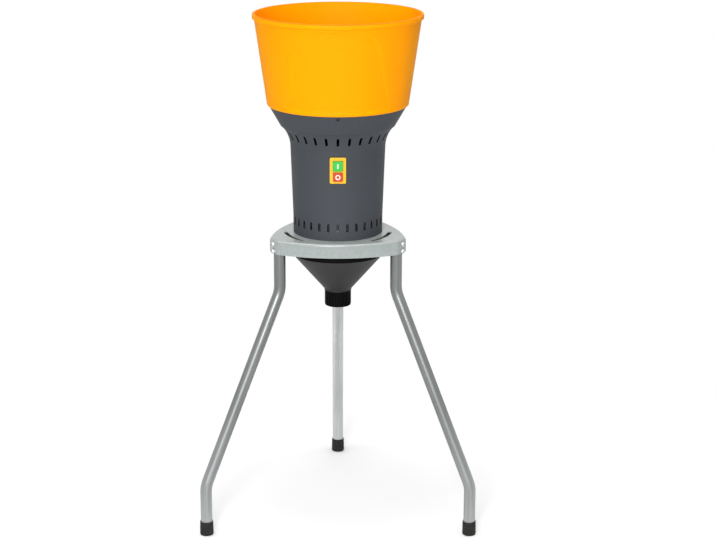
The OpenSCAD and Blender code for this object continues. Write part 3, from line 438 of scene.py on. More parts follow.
def amber_plastic(name, rgb, lip_z):
    """Translucent amber plastic that glows a little through its wall, with painted shade on the
    upward faces of its lip.
    """
    finish = plastic(name, rgb, roughness=0.55, grain=0.12, size=700.0, drift=0.12, shine=0.04)
    n, k = graph(finish)
    # Painted shade: upward faces near the rim's lip are darkened.
    high = ramp(n, k, up_part(n, k, object_place(n)), lip_z - 10.5 * MM, lip_z - 8.5 * MM)
    upward = ramp(n, k, up_part(n, k, geometry(n, "Normal")), 0.2, 0.6)
    tinted(finish, product(n, k, high, upward), (0.88, 0.5, 1, 1))
    preset(n["Principled BSDF"], Subsurface_Weight=0.35, Subsurface_Radius=(1.0, 0.32, 0.03),
           Subsurface_Scale=3 * MM)
    return finish


def metal(name, rgb, roughness, contrast, size, amount=1.0, along=None):
    """Drawn, rolled or ground metal with streaks up it, or along its own vector attribute."""
    finish, n, k, surface = blank_finish(name, amount, roughness)
    streaks = effect(n, "streaks", Size=size, Depth=0.2)
    k.new(own_vector(n, along) if along else object_place(n), streaks.inputs["Vector"])
    drifted = effect(n, "drift", Colour=opaque(rgb), Shade=toned(rgb, 0.8), Amount=0.4, Size=14.0)
    part = product(n, k, streaks.outputs["Streaks"], contrast)
    k.new(blend_colours(n, k, part, drifted.outputs["Colour"], toned(rgb, 0.55)),
          surface.inputs["Base Color"])
    k.new(streaks.outputs["Normal"], surface.inputs["Normal"])
    k.new(math_node(n, k, "ADD", math_node(n, k, "MULTIPLY", streaks.outputs["Streaks"], 0.18),
                    roughness - 0.09, True), surface.inputs["Roughness"])
    return finish


def galvanised(name, rgb, top_painted_tone, foot_painted_tone, top_tone_to, foot_tone_from):
    """Drawn zinc-coated tube, with painted light and shade along it: one tone near the plate and
    another towards the foot.
    """
    finish = metal(name, rgb, 0.34, 0.75, 170.0, 0.9, "straight")
    n, k = graph(finish)
    # Painted light and shade: a tone along the tube multiplies its colour.
    low = ramp(n, k, up_part(n, k, own_vector(n, "straight")), top_tone_to, foot_tone_from)
    white = (1, 1, 1)
    tone = blend_colours(n, k, low, toned(white, top_painted_tone), toned(white, foot_painted_tone))
    return tinted(finish, 1.0, tone)


def painted_steel(name, rgb):
    """Powder coat on pressed steel: a faint orange peel, dust, and rubbed edges that also carry a
    painted highlight.
    """
    finish, n, k, surface = blank_finish(name, 0.0, 0.34)
    drifted = effect(n, "drift", Colour=opaque(rgb), Shade=toned(rgb, 0.86),
                     Amount=0.35, Size=7.0)
    dusted = effect(n, "dust", Amount=0.12)
    k.new(drifted.outputs["Colour"], dusted.inputs["Colour"])
    # Rubbed edges and painted edge highlight: sharp edges are made lighter.
    worn_and_lit = effect(n, "wear", Amount=0.5)
    k.new(blend_colours(n, k, worn_and_lit.outputs["Mask"], dusted.outputs["Colour"], toned(rgb, 1.35)),
          surface.inputs["Base Color"])
    peel = effect(n, "grain", Size=420.0, Depth=0.16)
    k.new(peel.outputs["Normal"], surface.inputs["Normal"])
    k.new(math_node(n, k, "ADD", math_node(n, k, "MULTIPLY", drifted.outputs["Mask"], 0.12), 0.28),
          surface.inputs["Roughness"])
    preset(surface, Coat_Weight=0.25, Coat_Roughness=0.2)
    return finish


FINISHES = {}


def make_finishes():
    """Every finish of the mill, under its slot's name."""
    c = bpy.context.scene.mill_colours
    EFFECTS.update(grain=make_grain_group(), drift=make_drift_group(),
                   streaks=make_streak_group(), dust=make_dust_group(), wear=make_wear_group())
    # Tubes: painted tone near the plate and at the foot, and the lengths in metres between them.
    # The front tubes get painted shade near the plate and a little painted light at the foot; the
    # rear tube is a copy painted lighter all along.
    FINISHES.update({
        "galvanised_tube": galvanised("Galvanised tube", c.zinc, 0.66, 1.1, 0.38, 0.64),
        "rear_tube_painted_light": galvanised("Galvanised rear tube", c.zinc, 1.2, 1.6, 0.04, 0.2),
        "plate_paint": painted_steel("Plate paint", c.plate),
        "housing_plastic": shell_plastic("Housing plastic", c.charcoal),
        "hopper_plastic": amber_plastic("Hopper plastic", c.amber,
                                        bpy.context.scene.mill_sizes.rim_z),
    })
    # Plastic and rubber: colour, roughness, depth and fineness of grain, drift, dust, shine.
    for slot, *values in (
            ("foot_rubber", c.rubber, 0.72, 0.5, 1100.0, 0.3, 0.15),
            ("black_plastic", c.black, 0.55, 0.25, 1500.0, 0.2, 0.0, 0.05),
            ("funnel_plastic", c.soot, 0.5, 0.3, 1300.0, 0.25, 0.05, 0.2),
            # Painted shade: hopper_underside is a near-black finish for the hopper's shaded
            # underside.
            ("hopper_underside", (0.012, 0.01, 0.008), 0.6, 0.2, 900.0, 0.1),
            ("switch_yellow", c.yellow, 0.38, 0.15, 2200.0, 0.1),
            ("button_green", c.green, 0.28, 0.1, 2200.0, 0.1),
            ("button_red", c.red, 0.28, 0.1, 2200.0, 0.1),
            ("sign_pale", c.sign, 0.35, 0.1, 2200.0, 0.05),
            ("switch_black", (0.02, 0.02, 0.02), 0.5, 0.2, 2000.0, 0.1),
            ("seal_rubber", (0.025, 0.025, 0.025), 0.6, 0.2, 1500.0, 0.2),
            ("capacitor_can", (0.7, 0.7, 0.69), 0.4, 0.15, 1500.0, 0.1),
            ("terminal_plastic", (0.75, 0.73, 0.68), 0.45, 0.2, 1500.0, 0.1)):
        FINISHES[slot] = plastic(slot.replace("_", " ").capitalize(), *values)
    # Metal: colour, roughness, contrast and fineness of its streaks, how metallic it is.
    for slot, *values in (
            ("zinc_screw", (0.7, 0.71, 0.72), 0.28, 0.25, 700.0),
            ("black_screw", (0.03, 0.03, 0.032), 0.4, 0.2, 700.0, 0.6),
            ("sieve_steel", (0.75, 0.76, 0.77), 0.25, 0.2, 300.0),
            ("cast_aluminium", (0.55, 0.56, 0.57), 0.5, 0.15, 90.0),
            ("sheet_aluminium", (0.66, 0.67, 0.68), 0.36, 0.25, 260.0),
            ("sheet_steel", (0.27, 0.275, 0.28), 0.5, 0.3, 240.0),
            ("core_steel", (0.2, 0.21, 0.23), 0.5, 0.4, 900.0),
            ("copper_wire", (0.72, 0.33, 0.15), 0.3, 0.5, 900.0),
            ("shaft_steel", (0.6, 0.61, 0.62), 0.25, 0.2, 500.0),
            ("bearing_steel", (0.7, 0.71, 0.72), 0.15, 0.1, 500.0),
            ("blade_steel", (0.52, 0.53, 0.55), 0.3, 0.35, 600.0)):
        FINISHES[slot] = metal(slot.replace("_", " ").capitalize(), *values)
    # Painted shade: these metals are blackened on the motor's top end.
    shaded_metal(FINISHES["zinc_screw"])
    shaded_metal(FINISHES["shaft_steel"])


def give_finish(piece, *slots):
    """Gives a piece its finishes; the first names its slot in the record."""
    piece.data.materials.clear()
    for name in slots:
        piece.data.materials.append(FINISHES[name])


# ---------- modelling helpers ----------

def switch_to(mode):
    """Goes to object or edit mode."""
    bpy.ops.object.mode_set(mode=mode)


def leave_edit():
    """Back to object mode with nothing selected."""
    if bpy.context.object and bpy.context.object.mode != "OBJECT":
        switch_to("OBJECT")
    bpy.ops.object.select_all(action="DESELECT")


def only(piece):
    """Selects one piece and makes it active."""
    leave_edit()
    piece.select_set(True)
    bpy.context.view_layer.objects.active = piece
    return piece


def named(name):
    """Names the active piece and its mesh."""
    piece = bpy.context.active_object
    piece.name = name
    piece.data.name = name
    return piece


def pick(piece, kind, test):
    """In edit mode, selects vertices, edges or faces by their place and direction."""
    only(piece)
    switch_to("EDIT")
    bpy.ops.mesh.select_mode(type=kind)
    bpy.ops.mesh.select_all(action="DESELECT")
    switch_to("OBJECT")
    mesh = piece.data
    if kind == "FACE":
        for face in mesh.polygons:
            face.select = test(face.center, face.normal)
    elif kind == "EDGE":
        for edge in mesh.edges:
            a, b = (mesh.vertices[i].co for i in edge.vertices)
            edge.select = test((a + b) / 2, (b - a).normalized())
    else:
        for corner in mesh.vertices:
            corner.select = test(corner.co, corner.normal)
    switch_to("EDIT")


def edit_all(piece):
    """In edit mode, with the whole piece selected."""
    only(piece)
    switch_to("EDIT")
    bpy.ops.mesh.select_all(action="SELECT")


def round_off(piece, kind, test, offset, segments):
    """Rounds the picked edges, or those round the picked faces, by an offset in millimetres."""
    pick(piece, kind, test)
    bpy.ops.mesh.bevel(offset=offset * MM, segments=segments, affect="EDGES")
    switch_to("OBJECT")


def settle(piece):
    """Puts a piece's place into its mesh."""
    only(piece)
    bpy.ops.object.transform_apply(location=True, rotation=True, scale=True)
    return piece


def modify(piece, kind, **values):
    """Adds a modifier, sets it and applies it."""
    only(piece)
    modifier = piece.modifiers.new(kind.title(), kind)
    for label, value in values.items():
        setattr(modifier, label, value)
    bpy.ops.object.modifier_apply(modifier=modifier.name)
    return piece


def carve(piece, *cutters):
    """Cuts other pieces out of one and removes them."""
    for cutter in cutters:
        modify(piece, "BOOLEAN", operation="DIFFERENCE", solver="EXACT", object=cutter)
        bpy.data.objects.remove(cutter)
    return piece


def bolt_on(piece, part):
    """Joins another piece to one, as one closed body, and removes it."""
    modify(piece, "BOOLEAN", operation="UNION", solver="EXACT", object=part)
    bpy.data.objects.remove(part)
    return piece


def tidy_faces(piece):
    """Merges doubles and turns every face outwards."""
    edit_all(piece)
    bpy.ops.mesh.remove_doubles(threshold=MERGE)
    bpy.ops.mesh.normals_make_consistent(inside=False)
    switch_to("OBJECT")
    return piece


def smooth(piece, angle=35):
    """Smooth shading, with edges over the angle kept sharp."""
    only(piece)
    bpy.ops.object.shade_smooth_by_angle(angle=math.radians(angle))
    return piece


def arc(cx, cz, r, first, last, steps):
    """Points on an arc of a profile, in millimetres, between two angles in degrees."""
    turns = [math.radians(first + (last - first) * i / steps) for i in range(steps + 1)]
    return [(cx + r * math.cos(t), cz + r * math.sin(t)) for t in turns]


def walk_profile(name, points):
    """One vertex walked along a profile of (radius, height) in millimetres; stays in edit mode."""
    leave_edit()
    bpy.ops.mesh.primitive_plane_add(size=MM)
    piece = named(name)
    switch_to("EDIT")
    bpy.ops.mesh.select_mode(type="VERT")
    bpy.ops.mesh.select_all(action="SELECT")
    bpy.ops.mesh.merge(type="CENTER")
    bpy.ops.mesh.select_all(action="SELECT")
    at = (0.0, 0.0)
    for i, point in enumerate(points):
        step = ((point[0] - at[0]) * MM, 0, (point[1] - at[1]) * MM)
        if i == 0:
            bpy.ops.transform.translate(value=step)
        else:
            bpy.ops.mesh.extrude_region_move(TRANSFORM_OT_translate={"value": step})
        at = point
    return piece


def turned(name, points, steps=96):
    """A piece turned on a lathe from a closed or axis-to-axis profile in millimetres."""
    piece = walk_profile(name, points)
    bpy.ops.mesh.select_all(action="SELECT")
    bpy.ops.mesh.spin(steps=steps, angle=TAU, center=(0, 0, 0), axis=(0, 0, 1))
    return tidy_faces(piece)


def sector_block(name, r1, r2, azimuth, half, low, high):
    """A ring sector in millimetres; half is how many degrees it spreads to each side."""
    piece = walk_profile(name, [(r1, low), (r2, low), (r2, high), (r1, high), (r1, low)])
    bpy.ops.mesh.select_all(action="SELECT")
    bpy.ops.mesh.remove_doubles(threshold=MERGE)
    bpy.ops.mesh.edge_face_add()
    bpy.ops.mesh.spin(steps=12, angle=math.radians(2 * half), center=(0, 0, 0), axis=(0, 0, 1))
    tidy_faces(piece)
    reach = max(piece.data.vertices, key=lambda v: abs(v.co.y)).co
    piece.matrix_world = turn_z(azimuth - math.copysign(half, reach.y))
    return settle(piece)


def copied(piece, name, place):
    """A copy of a piece with its own mesh, put in place by a matrix that goes into the mesh."""
    twin = piece.copy()
    twin.data = piece.data.copy()
    twin.name = twin.data.name = name
    bpy.context.collection.objects.link(twin)
    twin.matrix_world = place
    return settle(twin)


def copies(piece, name, places):
    """One copy of a piece at each place; the piece itself is removed."""
    twins = [copied(piece, name, place) for place in places]
    bpy.data.objects.remove(piece)
    return twins


def moved(piece, name, place):
    """A piece under its last name, put in place by a matrix that goes into its mesh."""
    return copies(piece, name, [place])[0]


def joined(name, pieces):
    """Several pieces made one."""
    leave_edit()
    for piece in pieces:
        piece.select_set(True)
    bpy.context.view_layer.objects.active = pieces[0]
    bpy.ops.object.join()
    return named(name)


def block(name, low, high):
    """A box between two corners in millimetres."""
    leave_edit()
    middle = [(a + b) / 2 * MM for a, b in zip(low, high)]
    bpy.ops.mesh.primitive_cube_add(size=1, location=middle)
    piece = named(name)
    piece.scale = [(b - a) * MM for a, b in zip(low, high)]
    return settle(piece)


def rod(name, radius, low, high, sides=48):
    """An upright rod on the Z axis, in millimetres."""
    leave_edit()
    bpy.ops.mesh.primitive_cylinder_add(
        vertices=sides, radius=radius * MM, depth=(high - low) * MM,
        location=(0, 0, (low + high) / 2 * MM))
    return settle(named(name))


def turn_z(degrees):
    """A turn about the mill's axis."""
    return Matrix.Rotation(math.radians(degrees), 4, "Z")


def outward(degrees, reach, height, tilt=0.0):
    """The place at which a piece modelled along +Z points out of the mill's side."""
    return (turn_z(degrees) @ Matrix.Translation((reach * MM, 0, height * MM))
            @ Matrix.Rotation(math.radians(90 + tilt), 4, "Y"))


def in_millimetres(box):
    """The two corners of a box, in millimetres."""
    return [corner / MM for corner in box]


# ---------- pieces ----------

class MILL_OT_cad_finishes(bpy.types.Operator):
    """Gives every node of the frame the finish of its slot"""
    bl_idname = "mill.cad_finishes"
    bl_label = "Finish the frame's pieces"

    def execute(self, context):
        make_finishes()
        for name, node in NODES.items():
            node.data.materials.clear()
            node.data.materials.append(FINISHES[SLOT_OF[name]])
        return {"FINISHED"}


class MILL_OT_legs(bpy.types.Operator):
    """Three galvanised tube legs, each bent twice"""
    bl_idname = "mill.legs"
    bl_label = "Legs"

    def execute(self, context):
        s = context.scene.mill_sizes
        lean = math.atan((s.leg_foot_reach - s.leg_top_reach) / (s.knee_z - s.ankle_z))
        run = s.bend_radius * math.tan(lean / 2)
        slant = math.hypot(s.leg_foot_reach - s.leg_top_reach, s.knee_z - s.ankle_z) - 2 * run
        sides, bend_steps, tube_end = 40, 8, 4 * MM
        leave_edit()
        bpy.ops.mesh.primitive_circle_add(
            vertices=sides, radius=s.leg_radius, location=(s.leg_top_reach, 0, s.leg_top_z))
        tube = settle(named("leg_tube"))
        edit_all(tube)
        lengths = [0.0]

        def straight(dx, dz):
            bpy.ops.mesh.extrude_region_move(TRANSFORM_OT_translate={"value": (dx, 0, dz)})
            lengths.append(lengths[-1] + math.hypot(dx, dz))

        def bend(centre_x, centre_z, side):
            bpy.ops.mesh.spin(steps=bend_steps, angle=lean, center=(centre_x, 0, centre_z),
                              axis=(0, side, 0))
            for _ in range(bend_steps):
                lengths.append(lengths[-1] + s.bend_radius * lean / bend_steps)

        straight(0, s.knee_z + run - s.leg_top_z)
        bend(s.leg_top_reach + s.bend_radius, s.knee_z + run, 1)
        straight(slant * math.sin(lean), -slant * math.cos(lean))
        bend(s.leg_foot_reach - s.bend_radius, s.ankle_z - run, -1)
        straight(0, tube_end - (s.ankle_z - run))
        switch_to("OBJECT")
        furthest = max(corner.co.x for corner in tube.data.vertices)
        if abs(furthest - s.leg_foot_reach - s.leg_radius) > 0.5 * MM:
            raise RuntimeError(f"the leg reaches {furthest} m instead of standing over its foot")
        along = tube.data.attributes.new("straight", "FLOAT_VECTOR", "POINT")
        for i in range(len(tube.data.vertices)):
            turn = TAU * (i % sides) / sides
            along.data[i].vector = (s.leg_radius * math.cos(turn), s.leg_radius * math.sin(turn),
                                    lengths[i // sides])
        modify(tube, "SOLIDIFY", thickness=s.leg_wall, offset=-1)
        edit_all(tube)
        bpy.ops.mesh.normals_make_consistent(inside=False)
        switch_to("OBJECT")
        for side, angle in LEG_ANGLES.items():
            leg = smooth(copied(tube, f"tube_{side}", turn_z(angle)))
            give_finish(leg, "galvanised_tube")
            # The rear leg gets the copy of the tube finish with painted light.
            if side == "rear":
                leg.data.materials[0] = FINISHES["rear_tube_painted_light"]
            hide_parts(f"leg_{side}")
            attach(leg, "root")
        bpy.data.objects.remove(tube)
        return {"FINISHED"}


class MILL_OT_feet(bpy.types.Operator):
    """Three ribbed rubber feet"""
    bl_idname = "mill.feet"
    bl_label = "Feet"

    def execute(self, context):
        s = context.scene.mill_sizes
        top = s.foot_height / MM
        profile = [(0, 0), (11.2, 0)] + arc(11.2, 3.4, 3.4, -90, 0, 6)[1:]
        for level in (9.0, 14.5, 20.0):
            profile += [(14.5, level - 1.1), (13.75, level - 0.6), (13.75, level + 0.6),
                        (14.4, level + 1.1)]
        profile += [(14.1, top - 1.6)] + arc(13.2, top - 0.9, 0.9, 0, 90, 4)
        profile += [(12.75, top - 0.4), (12.6, top - 1.2), (12.6, 4.2), (0, 4.2)]
        foot = turned("rubber_foot", profile, 48)
        for side, angle in LEG_ANGLES.items():
            place = turn_z(angle) @ Matrix.Translation((s.leg_foot_reach, 0, 0))
            cap = smooth(copied(foot, f"rubber_{side}", place))
            give_finish(cap, "foot_rubber")
            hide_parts(f"foot_{side}")
            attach(cap, "root")
        bpy.data.objects.remove(foot)
        return {"FINISHED"}


def socket_head(name, radius, height, shank_radius, shank, key):
    """A button-head screw along +Z with a hexagon socket; its shank goes down from z = 0."""
    head = rod(name, radius, 0, height, 36)
    round_off(head, "FACE", lambda c, n: n.z > 0.9, height * 0.62, 5)
    carve(head, rod("key_hole", key, height * 0.35, height + 1, 6))
    return joined(name, [head, rod("shank", shank_radius, -shank, 0.2, 24)])


def cross_head(name, radius, height, shank_radius, shank):
    """A pan-head screw along +Z with a cross recess."""
    head = rod(name, radius, 0, height, 32)
    round_off(head, "FACE", lambda c, n: n.z > 0.9, height * 0.55, 4)
    arm, wide = radius * 0.55, radius * 0.13
    carve(head, block("slot_a", (-arm, -wide, height * 0.4), (arm, wide, height + 1)),
          block("slot_b", (-wide, -arm, height * 0.4), (wide, arm, height + 1)))
    return joined(name, [head, rod("shank", shank_radius, -shank, 0.2, 20)])


class MILL_OT_fasteners(bpy.types.Operator):
    """Leg bolts with socket heads, and the cross-head screws of the housing's collar"""
    bl_idname = "mill.fasteners"
    bl_label = "Bolts and screws"

    def execute(self, context):
        s = context.scene.mill_sizes
        bolt = socket_head("bolt", s.bolt_radius / MM, 4.0, 3.0, 27.0, 2.1)
        places = [outward(angle, s.corner_reach / MM, level)
                  for angle in LEG_ANGLES.values() for level in BOLT_LEVELS]
        done = smooth(joined("corner_bolts", copies(bolt, "bolt", places)))
        give_finish(done, "zinc_screw")
        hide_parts("leg_bolts")
        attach(done, "root")
        screw = cross_head("screw", 3.2, 2.2, 2.0, 7.5)
        level = s.seat_z / MM - COLLAR_SCREW_DROP
        places = [outward(angle, COLLAR_SCREW_REACH, level, COLLAR_SLOPE)
                  for angle in COLLAR_SCREW_ANGLES]
        done = smooth(joined("collar_screws", copies(screw, "screw", places)))
        give_finish(done, "black_screw")
        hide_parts("hopper_screws")
        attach(done, "root")
        return {"FINISHED"}


class MILL_OT_hopper(bpy.types.Operator):
    """The amber hopper: rolled rim, tapered wall, nested base and a floor with its feed hole"""
    bl_idname = "mill.hopper"
    bl_label = "Hopper"

    def execute(self, context):
        s = context.scene.mill_sizes
        seat, rim, reach, wall = s.seat_z / MM, s.rim_z / MM, s.rim_radius / MM, s.hopper_wall / MM
        floor = seat - NEST_DEPTH
        profile = [(0, floor), (109.2, floor)] + arc(109.2, floor + 1.2, 1.2, -70, -30, 3)
        profile += [(119.1, seat - 39), (141.1, seat - 0.4), (142.0, seat)]
        profile += arc(WALL_FOOT - SHOULDER, seat + SHOULDER, SHOULDER, -90, 0, 6)
        rows, rise = 44, rim - LIP_HEIGHT - (seat + SHOULDER)
        profile += [(WALL_FOOT + WALL_FLARE * i / rows, seat + SHOULDER + rise * i / rows)
                    for i in range(1, rows + 1)]
        profile += arc(176, rim - 12.4, 1.6, 165, 95, 3)
        profile += [(reach - 1.6, rim - 10)] + arc(reach - 1.6, rim - 8.4, 1.6, -70, 0, 4)
        profile += [(reach, rim - 3.2)] + arc(reach - 3, rim - 3, 3, 10, 90, 6)
        profile += [(reach - 6, rim)] + arc(reach - 5.6, rim - 1.4, 1.4, 100, 180, 4)
        profile += [(172.1, rim - 12)] + arc(143, seat + 6.5, 3.5, 0, -90, 6)
        profile += [(140.4, seat + wall)] + arc(140.4, seat + wall - 1.6, 1.6, 100, 150, 3)
        profile += [(115.8, seat - 38), (108.4, floor + 5.0), (106.8, floor + 4), (0, floor + 4)]
        shell = turned("hopper_shell", profile, 160)
        boss = rod("boss", 7, floor - 16, floor + 1, 32)
        studs = [turn_z(a) @ Matrix.Translation((STUD_REACH * MM, 0, 0)) for a in STUD_ANGLES]
        pegs = [turn_z(a) @ Matrix.Translation((PEG_REACH * MM, 0, 0)) for a in PEG_ANGLES]
        peg = rod("peg", 3, floor + 3, floor + 8, 24)
        pivot = rod("pivot_boss", 8, floor - 14, floor + 1, 32)
        for part in (*copies(boss, "stud_boss", studs), pivot, *copies(peg, "stop_peg", pegs)):
            bolt_on(shell, part)
        carve(shell, rod("pivot_hole", 3.1, floor - 15, floor + 5, 32),
              sector_block("feed_hole", 57, 78, 90, 15, floor - 1, floor + 5))
        self.press_field(shell, seat, rim)
        give_finish(smooth(shell, 28), "hopper_plastic", "hopper_underside")
        # The second finish, near black, is painted shade on the underside and on the outside of
        # the nested base.
        for face in shell.data.polygons:
            c, n = face.center / MM, face.normal
            nest_side = c.z < seat - 1 and c.xy.length > 100 and c.xy.dot(n.xy) > 0
            face.material_index = int(nest_side or c.z < floor + 0.5)
        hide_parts("hopper")
        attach(shell, "root")
        return {"FINISHED"}

    def press_field(self, shell, seat, rim):
        """Sinks a shallow field with a soft edge into the front of the hopper's wall."""
        low, high, corner, edge, depth = seat + 5, rim - 15, 34, 6, 1.8
        # Half its width 55 mm below the rim, and how much it widens per millimetre down.
        half_width, taper = 86, 0.19
        foot = seat + SHOULDER
        slope = WALL_FLARE / (rim - LIP_HEIGHT - foot)

        def on_wall(co):
            outside = co.xy.length / MM - WALL_FOOT - (co.z / MM - foot) * slope
            return co.y < 0 and abs(outside) < 0.3

        def inside(co):
            x, z = abs(co.x) / MM, co.z / MM
            half = half_width + (rim - 55 - z) * taper
            across, up = x - half + corner, z - high + corner
            if across > 0 and up > 0:
                reach = corner - math.hypot(across, up)
            else:
                reach = min(half - x, high - z)
            return min(reach, z - low)

        pick(shell, "FACE", lambda c, n: on_wall(c) and n.y < 0 and -4 < inside(c) < 12)
        bpy.ops.mesh.subdivide(number_cuts=1)
        switch_to("OBJECT")
        field = shell.vertex_groups.new(name="field")
        for point in shell.data.vertices:
            if on_wall(point.co) and inside(point.co) > 0:
                part = min(inside(point.co) / edge, 1.0)
                field.add([point.index], part * part * (3 - 2 * part), "REPLACE")
        modify(shell, "DISPLACE", strength=-depth * MM, mid_level=0.0, vertex_group="field")
        shell.vertex_groups.clear()


class MILL_OT_knob(bpy.types.Operator):
    """The grooved knob of the feed shutter"""
    bl_idname = "mill.knob"
    bl_label = "Shutter knob"

    def execute(self, context):
        low, high = in_millimetres(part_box("shutter_knob"))
        tall, wide = high.z - low.z, (high.x - low.x) / 2
        profile = [(0, 0), (4.9, 0), (4.9, 0.8), (4.1, 1.6), (4.0, tall * 0.38)]
        profile += arc(wide - 1.6, tall * 0.62, 1.6, -75, 0, 4)
        profile += arc(wide - 3, tall - 3, 3, 0, 60, 5)
        profile += [(2.4, tall - 0.25), (2.2, tall - 0.7), (0, tall - 0.7)]
        knob = turned("knob", profile, 48)
        groove = block("groove", (wide - 0.5, -0.45, tall * 0.5), (wide + 1, 0.45, tall - 1.5))
        carve(knob, *copies(groove, "grip_groove", [turn_z(i * 30) for i in range(12)]))
        place = ((low.x + high.x) / 2 * MM, (low.y + high.y) / 2 * MM, low.z * MM)
        done = moved(knob, "shutter_grip", Matrix.Translation(place))
        give_finish(smooth(done), "black_plastic")
        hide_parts("shutter_knob")
        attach(done, "shutter")
        return {"FINISHED"}


class MILL_OT_outlet(bpy.types.Operator):
    """The ribbed collar on the spout"""
    bl_idname = "mill.outlet"
    bl_label = "Outlet collar"

    def execute(self, context):
        low, high = in_millimetres(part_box("outlet_collar"))
        reach, foot, top = high.x, low.z, high.z
        profile = [(22, foot), (reach - 2.0, foot)] + arc(reach - 2.0, foot + 1.2, 1.2, -80, 0, 4)
        profile += [(reach - 0.8, foot + 2.6), (reach - 1.6, foot + 3.2), (reach - 1.1, top - 3.4)]
        profile += [(reach - 0.2, top - 2.6)] + arc(reach - 0.8, top - 0.8, 0.8, 0, 90, 4)
        profile += [(24.6, top), (24.5, foot + 2), (22, foot + 2), (22, foot)]
        collar = turned("collar_body", profile, 96)
        rib = block("rib", (reach - 2.6, -1.9, foot + 3.0), (reach - 0.35, 1.9, top - 3.0))
        front = (reach - 1.5) * MM
        round_off(rib, "EDGE", lambda m, d: abs(d.z) > 0.9 and m.x > front, 0.8, 3)
        ribs = copies(rib, "grip_rib", [turn_z(i * 15) for i in range(24)])
        done = smooth(joined("outlet_grip", [collar, *ribs]))
        give_finish(done, "black_plastic")
        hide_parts("outlet_collar")
        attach(done, "root")
        return {"FINISHED"}


def facing_front(piece, name, height, face):
    """Stands a piece that was modelled along +Z on a face that looks along -Y."""
    return moved(piece, name, Matrix.Translation((0, face * MM, height * MM))
                 @ Matrix.Rotation(math.pi / 2, 4, "X"))


def cushion_block(name, low, high, corner, edge):
    """A box with round upright corners and a rounded front edge; its front looks along -Y."""
    piece = block(name, low, high)
    round_off(piece, "EDGE", lambda m, d: abs(d.y) > 0.9, corner, 5)
    round_off(piece, "FACE", lambda c, n: n.y < -0.99, edge, 3)
    return piece


def sunk_face(name, low, high, corner, edge, border, depth):
    """A cushion block whose front is cut back inside a flat border, in millimetres."""
    pocket = block("pocket", (low.x + border, low.y - 1, low.z + border),
                   (high.x - border, low.y + depth, high.z - border))
    round_off(pocket, "EDGE", lambda m, d: abs(d.y) > 0.9, corner * 0.6, 4)
    return carve(cushion_block(name, low, high, corner, edge), pocket)


class MILL_OT_switch(bpy.types.Operator):
    """The yellow faceplate with its green start button and red stop button"""
    bl_idname = "mill.switch"
    bl_label = "Switch"

    def execute(self, context):
        low, high = in_millimetres(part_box("switch_plate"))
        face = sunk_face("switch_face", low, high, 3, 1.0, 2.2, 0.7)
        wells = []
        for button in ("start_button", "stop_button"):
            start, end = in_millimetres(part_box(button))
            wells.append(block("well", (start.x - 0.3, low.y - 2, start.z - 0.3),
                               (end.x + 0.3, high.y + 2, end.z + 0.3)))
        carve(face, *wells)
        give_finish(smooth(face, 30), "switch_yellow")
        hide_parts("switch_plate")
        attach(face, "root")
        self.add_button("start_button", "start_cap", "button_green")
        self.add_button("stop_button", "stop_cap", "button_red")
        return {"FINISHED"}

    def add_button(self, node, name, slot):
        """One button with a sunk field and its generic sign on it."""
        low, high = in_millimetres(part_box(node))
        cap = sunk_face(name, low, high, 1.5, 0.8, 2.0, 0.6)
        cap.data.materials.append(FINISHES[slot])
        field, middle = low.y + 0.6, (low.z + high.z) / 2
        if node == "start_button":
            sign = cushion_block("sign", (-1.3, field - 0.35, middle - 5),
                                 (1.3, field + 0.3, middle + 5), 0.5, 0.15)
        else:
            profile = [(3.2, -0.3), (5.4, -0.3), (5.4, 0.2), (5.25, 0.35), (3.35, 0.35),
                       (3.2, 0.2), (3.2, -0.3)]
            sign = facing_front(turned("sign", profile, 40), "sign", middle, field)
        sign.data.materials.append(FINISHES["sign_pale"])
        done = smooth(joined(name, [cap, sign]), 30)
        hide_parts(node)
        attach(done, node)


class MILL_OT_gland(bpy.types.Operator):
    """The cable gland at the rear, with a hexagon body and a ribbed dome nut"""
    bl_idname = "mill.gland"
    bl_label = "Cable gland"

    def execute(self, context):
        profile = [(4, -14), (7.6, -14), (8, -13.4), (8, 0.6), (4, 0.6), (4, -14)]
        thread = turned("thread", profile, 40)
        body = rod("gland_body", 12, 0.2, 6.2, 6)
        round_off(body, "FACE", lambda c, n: abs(n.z) > 0.9, 0.7, 2)
        carve(body, rod("bore", 4, -1, 8, 32))
        dome = turned("dome_nut", [(4, 5.8), (9.3, 5.8)] + arc(8.6, 12.2, 0.9, 0, 30, 2)
                      + arc(4.9, 13.0, 5.2, 12, 78, 8) + [(4.4, 18.1), (4, 17.6), (4, 5.8)], 48)
        rib = block("rib", (8.6, -0.7, 6.4), (9.9, 0.7, 12.2))
        round_off(rib, "EDGE", lambda m, d: m.x > 9.5 * MM, 0.4, 2)
        ribs = copies(rib, "nut_rib", [turn_z(i * 30) for i in range(12)])
        whole = joined("gland", [thread, body, dome, *ribs])
        done = moved(whole, "rear_gland", outward(GLAND_ANGLE, GLAND_REACH, GLAND_LEVEL))
        give_finish(smooth(done), "black_plastic")
        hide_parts("cable_gland")
        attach(done, "root")
        return {"FINISHED"}


def seen_by(nodes, links, *rays):
    """1 for the camera's own rays and for the other kinds of ray that are named."""
    path = nodes.new("ShaderNodeLightPath")
    seen = path.outputs["Is Camera Ray"]
    for ray in rays:
        seen = math_node(nodes, links, "MAXIMUM", seen, path.outputs[ray])
    return seen


def mix_surfaces(nodes, links, factor, first, second, output):
    """Ends a material or a world in a mix of two of its shaders."""
    mix = nodes.new("ShaderNodeMixShader")
    for socket, source in zip(mix.inputs, (factor, first.outputs[0], second.outputs[0])):
        links.new(source, socket)
    links.new(mix.outputs[0], nodes[output].inputs["Surface"])


